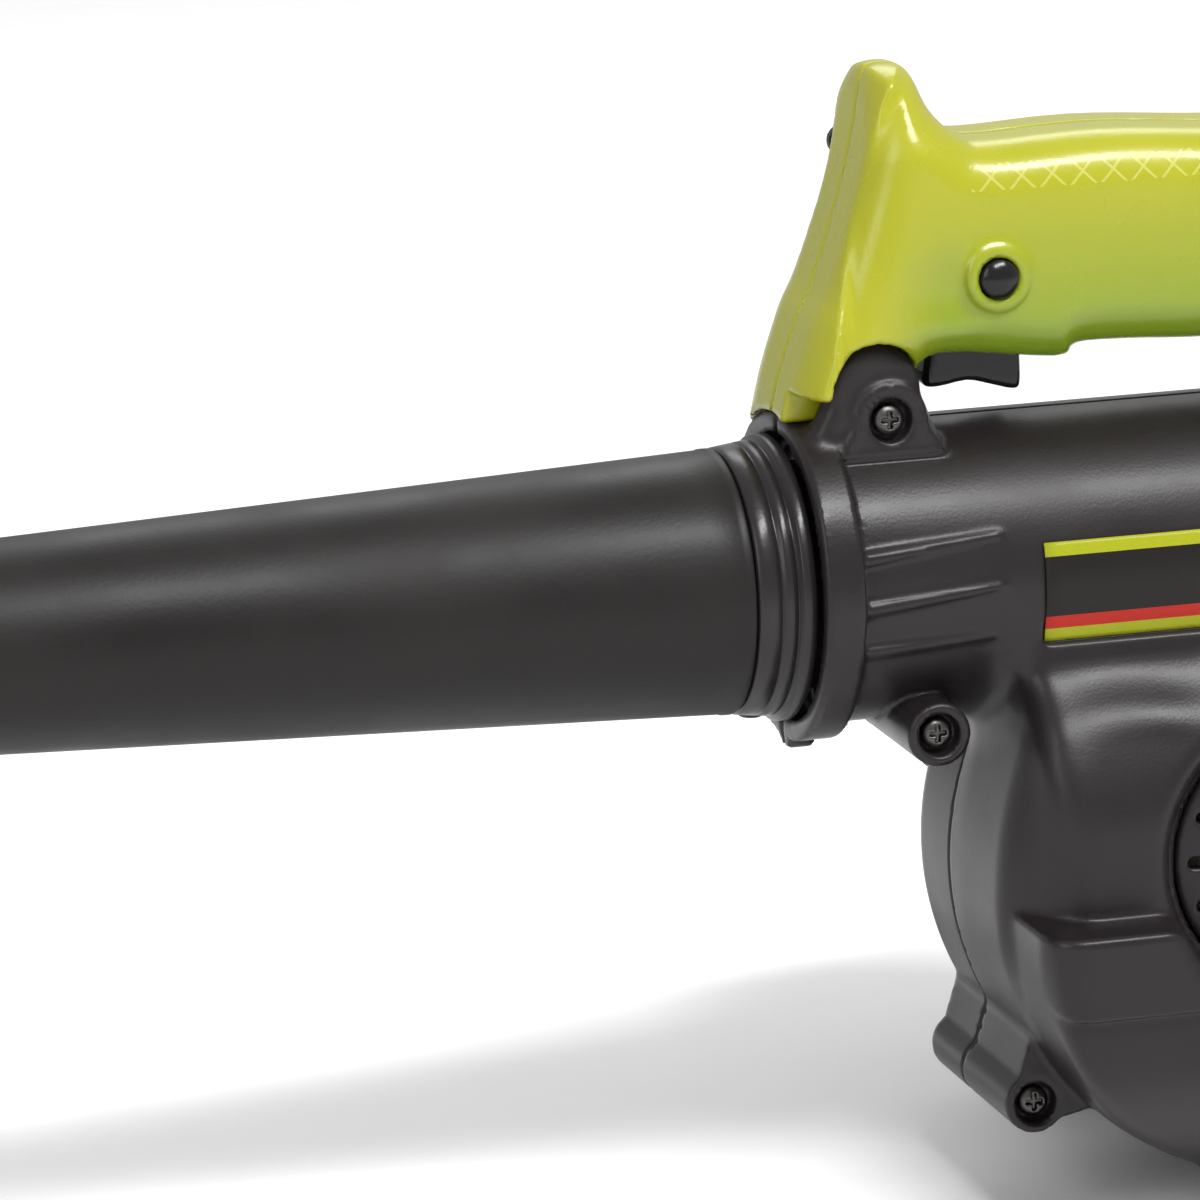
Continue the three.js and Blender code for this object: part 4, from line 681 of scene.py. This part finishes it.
near_grip = lay_skin("handle_near_half", handle(-1), (-98, -22, 38), (82, 1, 158), 0.9)
fit_in(near_grip, handle_paint, "casing", "handle", "handle_shell_left")
far_grip = lay_skin("handle_far_half", handle(1), (-98, -1, 38), (82, 22, 158), 0.9)
fit_in(far_grip, handle_paint, "casing", "handle", "handle_shell_right")

# ---- Trigger and lock button --------------------------------------------------------------
# A glossy black trigger slides up into the grip against a spring, and a domed pin in the left
# flank holds it in. Both are moulded nylon.

gloss_paint = skin_paint(
    "gloss_paint", (0.004, 0.004, 0.004), (0.008, 0.0075, 0.008), 0.12, 0.24, 700.0,
    specular=0.28)

trigger_low = duct_top + 6.5
trigger_loop = rounded_loop([
    (trigger_front, trigger_low + 1.2), (trigger_front + 3, trigger_low + 0.2),
    (trigger_front + 9, trigger_low + 1.0), (trigger_rear - 6, trigger_low - 0.2),
    (trigger_rear - 1.5, trigger_low - 1.4), (trigger_rear, trigger_low - 0.2),
    (trigger_rear, trigger_low + 6), (trigger_rear, trigger_top - 2),
    (trigger_front + 2, trigger_top - 2), (trigger_front + 1, trigger_low + 8)], 3)


trigger_half, trigger_flange_half = 6.5, 9.5


def trigger_field(x, y, z):
    """The blade that the finger pulls, on a flange that stays behind the grip's wall."""
    blade = edged(outline(x, z, trigger_loop), np.abs(y) - trigger_half, 1.6)
    flange = brick(x, y, z, (trigger_front + 2, -trigger_flange_half, trigger_top - 4.5),
                   (trigger_rear + 3, trigger_flange_half, trigger_top), 0.4)
    return round_join(blade, flange, 0.8)


trigger = lay_skin("trigger_blade", trigger_field, (-68, -11, 88), (-42, 11, 109), 0.6)
fit_in(trigger, gloss_paint, "trigger", "black_gloss", "trigger")


button_radius, button_flange, button_stem = 3.8, 5.4, 1.6
button_shoulder, dome_radius = -14.7, 5.4


def button_field(x, y, z):
    """A domed pin, the flange that keeps it in, and the stem that blocks the trigger."""
    r = np.hypot(x - button_at[0], z - button_at[1])
    dome = np.sqrt(r ** 2 + (y + grip_half - 2.2) ** 2) - dome_radius
    pin = np.maximum(np.maximum(r - button_radius, dome), y - button_shoulder)
    flange = edged(r - button_flange, span(y, button_shoulder, -13.5), 0.3)
    stem = np.maximum(r - button_stem, span(y, -14.0, -10.5))
    return np.minimum(np.minimum(pin, flange), stem)


button = lay_skin("lock_button_pin", button_field, (-61, -23, 108), (-49, -10, 122), 0.4)
fit_in(button, gloss_paint, "lock_button", "black_gloss", "lock_button")

# ---- Outlet collar and nozzle -------------------------------------------------------------
# A moulded bayonet collar turns on the fixed outlet sleeve, with a pin that catches in the
# ring. The nozzle is a long tapered tube of satin black rubber pushed over the collar's neck.

collar_paint = skin_paint(
    "collar_paint", (0.0095, 0.0078, 0.0082), (0.0150, 0.0125, 0.0132), 0.26, 0.36, 900.0,
    specular=0.32)
collar_front, collar_rear = -106.8, -95.6
collar_bore, neck_radius, neck_length = 22.7, 23.9, 20.0
nozzle_length, tip_radius, base_radius = 235.0, 17.2, 25.9
nozzle_base = collar_front - fit
nozzle_tip = nozzle_base - nozzle_length


def turned(name, profile, sides, height=duct_height):
    """Turns a closed profile of (distance along the duct, radius) about the duct's axis."""
    turns = np.linspace(0, 2 * math.pi, sides, endpoint=False)
    along, radius = np.array(profile).T
    count = len(profile)
    points = np.stack([
        np.broadcast_to(along[None], (sides, count)),
        radius[None] * np.cos(turns)[:, None],
        radius[None] * np.sin(turns)[:, None] + height + fan_height], 2).reshape(-1, 3)
    faces = []
    for i in range(sides):
        for j in range(count):
            a, b = i * count, (i + 1) % sides * count
            faces.append((a + j, b + j, b + (j + 1) % count, a + (j + 1) % count))
    return mesh_object(name, points * 0.001, faces)


collar_profile = [
    (collar_front - neck_length, collar_bore), (collar_front - neck_length, 23.6),
    (collar_front - neck_length + 0.4, neck_radius), (collar_front - 0.2, neck_radius), (collar_front, 24.6),
    (collar_front, 25.6), (collar_front + 0.5, 26.2), (collar_front + 4.3, 26.7),
    (collar_front + 4.5, 26.3), (collar_front + 4.9, 26.3), (collar_front + 5.1, 26.8),
    (collar_front + 7.3, 27.1), (collar_front + 7.5, 26.6), (collar_front + 8.1, 26.6),
    (collar_front + 8.3, 27.8), (collar_front + 8.8, 28.2), (collar_rear - 0.5, 28.2),
    (collar_rear, 27.7), (collar_rear, collar_bore)]
collar = turned("bayonet_collar", collar_profile, 144)
fit_in(collar, collar_paint, "collar", "black_gloss", "nozzle_collar")


pin_radius, pin_length = 2.6, 3.1


def pin_field(x, y, z):
    """The catch pin under the collar, with a dimple in its end."""
    across = np.hypot(x - (collar_front + collar_rear) / 2, y)
    pin = edged(across - pin_radius, span(z, duct_height - 24.5 - pin_length, duct_height - 24.5), 0.7)
    return round_cut(pin, np.maximum(across - 1.0, z - duct_height + 26.4), 0.3)


pin = lay_skin("collar_pin", pin_field, (-105, -4, duct_height - 29), (-97, 4, duct_height - 23), 0.35)
fit_in(pin, collar_paint, "collar", "black_gloss")


def nozzle_profile():
    """The tapered tube with a rim at its base, and the socket for the neck inside."""
    outer = [(nozzle_tip, 15.2), (nozzle_tip, 16.4), (nozzle_tip + 0.3, 16.9),
             (nozzle_tip + 1.2, tip_radius)]
    steps = 40
    for share in (k / steps for k in range(1, steps)):
        outer.append((nozzle_tip + 1.2 + share * (nozzle_length - 3.4),
                      tip_radius + (base_radius - tip_radius) * share))
    outer += [(nozzle_base - 2.2, base_radius), (nozzle_base - 1.9, base_radius + 0.2),
              (nozzle_base - 0.5, base_radius + 0.2), (nozzle_base - 0.1, base_radius),
              (nozzle_base, 25.5), (nozzle_base, neck_radius + 0.5)]
    socket_end = nozzle_base - neck_length
    socket = neck_radius + fit
    inner = [(nozzle_base - 0.2, socket), (socket_end + 0.1, socket), (socket_end, neck_radius + 0.1),
             (socket_end, 22.8), (socket_end - 0.4, 22.6), (nozzle_tip + 0.4, 14.8),
             (nozzle_tip, 14.9)]
    return outer + inner


rubber_paint = skin_paint(
    "rubber_paint", (0.0050, 0.0042, 0.0040), (0.0130, 0.0115, 0.0110), 0.40, 0.54, 1100.0,
    specular=0.22)
nozzle = turned("nozzle_tube", nozzle_profile(), 128)
fit_in(nozzle, rubber_paint, "nozzle", "rubber", "nozzle")

# ---- Label --------------------------------------------------------------------------------
# A printed film on the duct's flank: a black field between two green bands, with a thin red
# line above the lower band. It carries no lettering.

label_under, label_face = duct_radius + 0.3, duct_radius + 0.8


def label_mesh():
    """A thin closed shell bent round the duct."""
    rows, columns = 24, 12
    points, faces = [], []
    for radius in (label_under, label_face):
        for i in range(rows + 1):
            turn = math.radians(label_low + (label_high - label_low) * i / rows)
            for j in range(columns + 1):
                points.append((label_start + (label_end - label_start) * j / columns,
                               -radius * math.cos(turn),
                               duct_height + fan_height + radius * math.sin(turn)))
    width, block = columns + 1, (rows + 1) * (columns + 1)
    for i in range(rows):
        for j in range(columns):
            a = i * width + j
            faces.append((block + a, block + a + 1, block + a + width + 1, block + a + width))
            faces.append((a, a + width, a + width + 1, a + 1))
    rim = list(range(width))
    rim += [i * width + columns for i in range(1, rows + 1)]
    rim += [rows * width + j for j in range(columns - 1, -1, -1)]
    rim += [i * width for i in range(rows - 1, 0, -1)]
    for a, b in zip(rim, rim[1:] + rim[:1]):
        faces.append((a, b, block + b, block + a))
    return mesh_object("label_film", np.array(points) * 0.001, faces)


label_paint, nodes, links, shader, place = paint("label_paint", 0.3)
shader.inputs["Specular IOR Level"].default_value = 0.16
split = nodes.new("ShaderNodeSeparateXYZ")
height = nodes.new("ShaderNodeMapRange")
for socket, turn in (("From Min", label_low), ("From Max", label_high)):
    rise = label_face * math.sin(math.radians(turn))
    height.inputs[socket].default_value = (duct_height + fan_height + rise) * 0.001
label_green, label_red = (0.29, 0.31, 0.012, 1), (0.36, 0.018, 0.012, 1)
label_black = (0.012, 0.011, 0.010, 1)
bands = nodes.new("ShaderNodeValToRGB")
bands.color_ramp.interpolation = "CONSTANT"
stops = bands.color_ramp.elements
stops[0].position, stops[0].color = 0.0, label_green
stops[1].position, stops[1].color = 0.13, label_red
stops.new(0.26).color = label_black
stops.new(0.86).color = label_green
ink = nodes.new("ShaderNodeTexNoise")
ink.inputs["Scale"].default_value = 900.0
worn = nodes.new("ShaderNodeMix")
worn.data_type = "RGBA"
worn.blend_type = "MULTIPLY"
worn.inputs["Factor"].default_value = 0.12
links.new(place, split.inputs["Vector"])
links.new(place, ink.inputs["Vector"])
links.new(split.outputs["Z"], height.inputs["Value"])
links.new(height.outputs["Result"], bands.inputs["Fac"])
links.new(bands.outputs["Color"], worn.inputs["A"])
links.new(ink.outputs["Color"], worn.inputs["B"])
links.new(worn.outputs["Result"], shader.inputs["Base Color"])
label = label_mesh()
fit_in(label, label_paint, "casing", "label", "label_plate")

# ---- Screws -------------------------------------------------------------------------------
# Pan-headed self-tapping screws with a cross recess, in dark zinc. Five close the casing from
# the intake side, and the handle's, the motor's and the end cap's go in from the motor side.


head_radius, head_height, dome_sphere = 3.1, 2.2, 4.4
cross_arm, cross_slot, cross_depth = 1.75, 0.42, 1.5
stem_radius, thread_height, thread_pitch = 1.45, 0.2, 1.5


def screw(at, head, tip):
    """A screw along Y, from the top of its head to its tip."""
    into = 1 if tip > head else -1
    length = abs(tip - head)

    def field(x, y, z):
        u, v, along = x - at[0], z - at[1], (y - head) * into
        r = np.hypot(u, v)
        dome = np.sqrt(r ** 2 + (along - dome_sphere) ** 2) - dome_sphere
        pan = np.maximum(edged(r - head_radius, span(along, 0, head_height), 0.3), dome)
        arms = np.minimum(np.maximum(np.abs(u) - cross_slot, np.abs(v) - cross_arm),
                          np.maximum(np.abs(v) - cross_slot, np.abs(u) - cross_arm))
        pan = np.maximum(pan, -np.maximum(arms, along - cross_depth))
        winding = np.cos(2 * math.pi * along / thread_pitch - np.arctan2(v, u))
        thread = thread_height * np.maximum(winding, 0)
        stem = np.maximum(r - stem_radius - thread, span(along, 2.0, length))
        stem = np.maximum(stem, (r - 0.7 * (length - along)) * 0.8)
        return np.minimum(pan, stem)
    return field


screw_paint = skin_paint(
    "screw_paint", (0.055, 0.052, 0.052), (0.11, 0.105, 0.10), 0.26, 0.42, 1600.0,
    metallic=1.0)

cap_screws = [(29.4 * math.cos(math.radians(a)), 29.4 * math.sin(math.radians(a)))
              for a in (90, 210, 330)]
screws = [(name, at, near + 0.9, far - 7) for name, at, near, far in seam_screws]
screws += [(name, at, 17.1, -12.0) for name, at in handle_screws]
screws += [(f"screw_motor_{k + 1}", at, 32.8, 17.0) for k, at in enumerate(motor_screws)]
screws += [(f"screw_cap_{k + 1}", at, 103.4, 83.0) for k, at in enumerate(cap_screws)]
for name, at, head, tip in screws:
    low = (at[0] - 4, min(head, tip) - 1, at[1] - 4)
    high = (at[0] + 4, max(head, tip) + 1, at[1] + 4)
    piece = lay_skin(name, screw(at, head, tip), low, high, 0.4)
    fit_in(piece, screw_paint, "casing", "steel", name)

# ---- Motor --------------------------------------------------------------------------------
# The motor's moulded housing is screwed to the far half by four ears and rests on a foot of
# its own. A slotted cap closes it, and two slotted caps hold the brushes in.


def slots_around(x, z, count, first, half, near, far):
    """Distance to radial slots about the fan's axis."""
    turn = np.arctan2(z, x) - math.radians(first)
    pitch = 2 * math.pi / count
    turn = np.abs((turn + pitch / 2) % pitch - pitch / 2)
    r = np.hypot(x, z)
    return edged(r * np.sin(turn) - half, span(r, near, far), half * 0.9)


motor_start, motor_taper, skirt_end = motor_depth + fit, 2.0, 30.0
motor_foot = [(-32, -fan_height), (32, -fan_height), (22, -28), (-22, -28)]
brush_at, brush_boss, brush_bore = 82.0, 8.5, 6.5
pilot_radius, pillar_radius, pillar_start = 1.9, 4.4, 84.0


def housing_field(x, y, z):
    """The motor's housing: a tapered barrel with a foot, four ears, two brush bosses and slots."""
    r = np.hypot(x, z)
    taper = np.clip((y - motor_start) / (motor_end - motor_start), 0, 1)
    shell_radius = motor_radius - motor_taper * taper
    body = edged(r - shell_radius, span(y, motor_start, motor_end), 1.2)
    skirt = np.maximum(np.maximum(r - shell_radius + wall, y - skirt_end), motor_depth - y)
    body = np.maximum(body, -skirt)
    outside = motor_radius - 2.5 - r
    foot = edged(outline(x, z, motor_foot), span(y, 50, 62), 1.0)
    body = round_join(body, np.maximum(foot, outside), 2.5)
    for at in motor_screws:
        away = math.degrees(math.atan2(at[1], at[0])) + 180
        ear = edged(outline(x, z, drop(at, 5, away, 6.5, 7)), span(y, motor_start, motor_start + 6), 0.6)
        body = round_join(body, np.maximum(ear, outside), 1.0)
        body = np.maximum(body, pilot_radius - np.hypot(x - at[0], z - at[1]))
    for px, pz in cap_screws:
        pillar = np.hypot(x - px, z - pz)
        body = np.minimum(body, np.maximum(pillar - pillar_radius, span(y, pillar_start, motor_end)))
        body = np.maximum(body, -np.maximum(pillar - pilot_radius, pillar_start - 4 - y))
    boss = np.hypot(y - brush_at, z)
    body = round_join(body, edged(boss - brush_boss, span(np.abs(x), 31, 39), 0.8), 1.0)
    body = np.maximum(body, -np.maximum(boss - brush_bore, 30 - np.abs(x)))
    cooling = np.maximum(slots_around(x, z, 12, 15, 1.6, 33, 42), span(y, 32.3, 41.3))
    cooling = np.maximum(cooling, np.maximum(np.abs(z) - 30, 14 - np.abs(x)))
    body = round_cut(body, cooling, 0.4)
    return np.maximum(body, duct_radius + fit - np.hypot(y, z - duct_height))


motor_housing = lay_skin("motor_housing_shell", housing_field, (-45, 22, -76), (45, 94, 48), 0.9)
fit_in(motor_housing, casing_paint, "casing", "casing", "motor_housing")


cap_start, cap_shoulder, cap_end = motor_end + fit, motor_end + fit + 7, 104.3
bearing_seat, bearing_boss, cap_recess, cap_post = 9.8, 12.4, 3.9, 5.2


def cap_field(x, y, z):
    """The end cap: a dished disc with vents, the rear bearing's seat and three screw posts."""
    r = np.hypot(x, z)
    edge = 36 - np.clip((y - cap_start) / 7, 0, 1) - 4 * np.clip((y - cap_shoulder) / 5, 0, 1)
    body = edged(r - edge, span(y, cap_start, cap_end), 0.8)
    body = np.maximum(body, -np.maximum(r - edge + 2.6, y - cap_end + 3))
    hub = np.maximum(r - bearing_boss, span(y, cap_start, 103))
    body = np.maximum(np.minimum(body, hub), -np.maximum(r - bearing_seat, y - 101))
    vents = np.maximum(slots_around(x, z, 9, 10, 1.5, 15, 27), 90 - y)
    for px, pz in cap_screws:
        hole = np.hypot(x - px, z - pz)
        body = np.minimum(body, np.maximum(hole - cap_post, span(y, cap_start, 101.0)))
        body = np.maximum(body, -np.maximum(hole - cap_recess, 101.0 - y))
        body = np.maximum(body, -(hole - pilot_radius))
    return round_cut(body, vents, 0.5)


end_cap = lay_skin("motor_end_cap_disc", cap_field, (-38, 91, -38), (38, 106, 38), 0.8)
fit_in(end_cap, casing_paint, "casing", "casing", "motor_end_cap")

# ---- Intake grille ------------------------------------------------------------------------
# A domed disc of the casing's black plastic, snapped into the dish. Its two rings of slots let
# the air in and keep fingers off the impeller.

grille_radius, grille_top, grille_back, dome_fall = 26.9, -41.0, -35.6, 3.0
slot_half, groove_radius = 1.1, 8.0


def grille_field(x, y, z):
    """A dome that falls away to its rim, with two rings of slots and a round groove."""
    r = np.hypot(x, z)
    dome = y - grille_top - dome_fall * (r / grille_radius) ** 2
    disc = edged(r - grille_radius, np.maximum(-dome, y - grille_back), 0.5)
    inner_slots = slots_around(x, z, 12, 15, slot_half, 10, 16)
    outer_slots = slots_around(x, z, 16, 0, slot_half, 18.5, 24.5)
    slots = np.minimum(inner_slots, outer_slots)
    dip = y - grille_top - dome_fall * (groove_radius / grille_radius) ** 2
    groove = np.hypot(r - groove_radius, dip) - 0.5
    return round_cut(round_cut(disc, slots, 0.4), groove, 0.3)


grille = lay_skin("intake_grille_disc", grille_field, (-28, -42.5, -28), (28, -34.5, 28), 0.6)
fit_in(grille, casing_paint, "casing", "casing", "inlet_grille")

# ---- Cord gland ---------------------------------------------------------------------------
# A ribbed rubber sleeve held by its flanges in the handle's rear wall, where a mains cord
# would come in. Its ribs let it bend.

gland_profile = [
    (61.5, 3.6), (61.5, 6.4), (61.7, 6.6), (63.1, 6.6), (63.2, 5.2), (77.8, 5.2), (77.8, 6.4),
    (78.0, 6.6), (79.3, 6.6), (79.5, 6.3), (81.2, 6.1), (81.4, 5.4), (82.2, 5.4), (82.4, 5.9),
    (84.0, 5.6), (84.2, 4.9), (85.0, 4.9), (85.2, 5.4), (86.8, 5.1), (87.0, 4.5), (87.6, 4.5),
    (87.8, 4.9), (89.3, 4.7), (89.5, 4.4), (89.5, 3.8), (89.3, 3.6)]
gland = turned("gland_sleeve", gland_profile, 64, gland_height)
fit_in(gland, rubber_paint, "casing", "rubber", "cord_gland")

# ---- Hidden pieces ------------------------------------------------------------------------
# The fan, the motor's core and windings, the bearings, brushes, switch, capacitor and springs
# keep their CAD shapes, each with the finish of its own material.

metal_paint = skin_paint(
    "ground_steel_paint", (0.40, 0.40, 0.41), (0.56, 0.56, 0.57), 0.20, 0.34, 1800.0,
    metallic=1.0)
core_paint = skin_paint(
    "lamination_paint", (0.09, 0.09, 0.095), (0.15, 0.15, 0.155), 0.35, 0.5, 1200.0,
    metallic=0.9)
copper_paint = skin_paint(
    "copper_paint", (0.42, 0.14, 0.05), (0.60, 0.23, 0.09), 0.24, 0.36, 2200.0,
    metallic=0.9)
carbon_paint = skin_paint(
    "carbon_paint", (0.014, 0.014, 0.015), (0.030, 0.030, 0.032), 0.5, 0.7, 1500.0)
nylon_paint = skin_paint(
    "nylon_paint", (0.50, 0.47, 0.38), (0.60, 0.57, 0.48), 0.34, 0.5, 900.0)
nylon = nylon_paint.node_tree.nodes["Principled BSDF"]
nylon.inputs["Subsurface Weight"].default_value = 0.05
nylon.inputs["Subsurface Scale"].default_value = 0.001

finishes = {
    metal_paint: ["front_bearing_outer_ring", "front_bearing_inner_ring", "rear_bearing_outer_ring",
                  "rear_bearing_inner_ring", "rotor_shaft", "impeller_washer", "impeller_nut",
                  "trigger_spring", "brush_spring_left", "brush_spring_right"],
    core_paint: ["stator_core", "armature_core"],
    copper_paint: ["field_coil_upper", "field_coil_lower", "armature_winding", "commutator"],
    carbon_paint: ["carbon_brush_left", "carbon_brush_right"],
    nylon_paint: ["impeller", "cooling_fan", "brush_holder_left", "brush_holder_right",
                  "suppressor_capacitor", "cord_clamp"],
    gloss_paint: ["switch_body", "brush_cap_left", "brush_cap_right"],
    casing_paint: ["outlet_sleeve"]}
for finish, names in finishes.items():
    for name in names:
        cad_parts[name].data.materials[0] = finish

low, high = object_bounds()
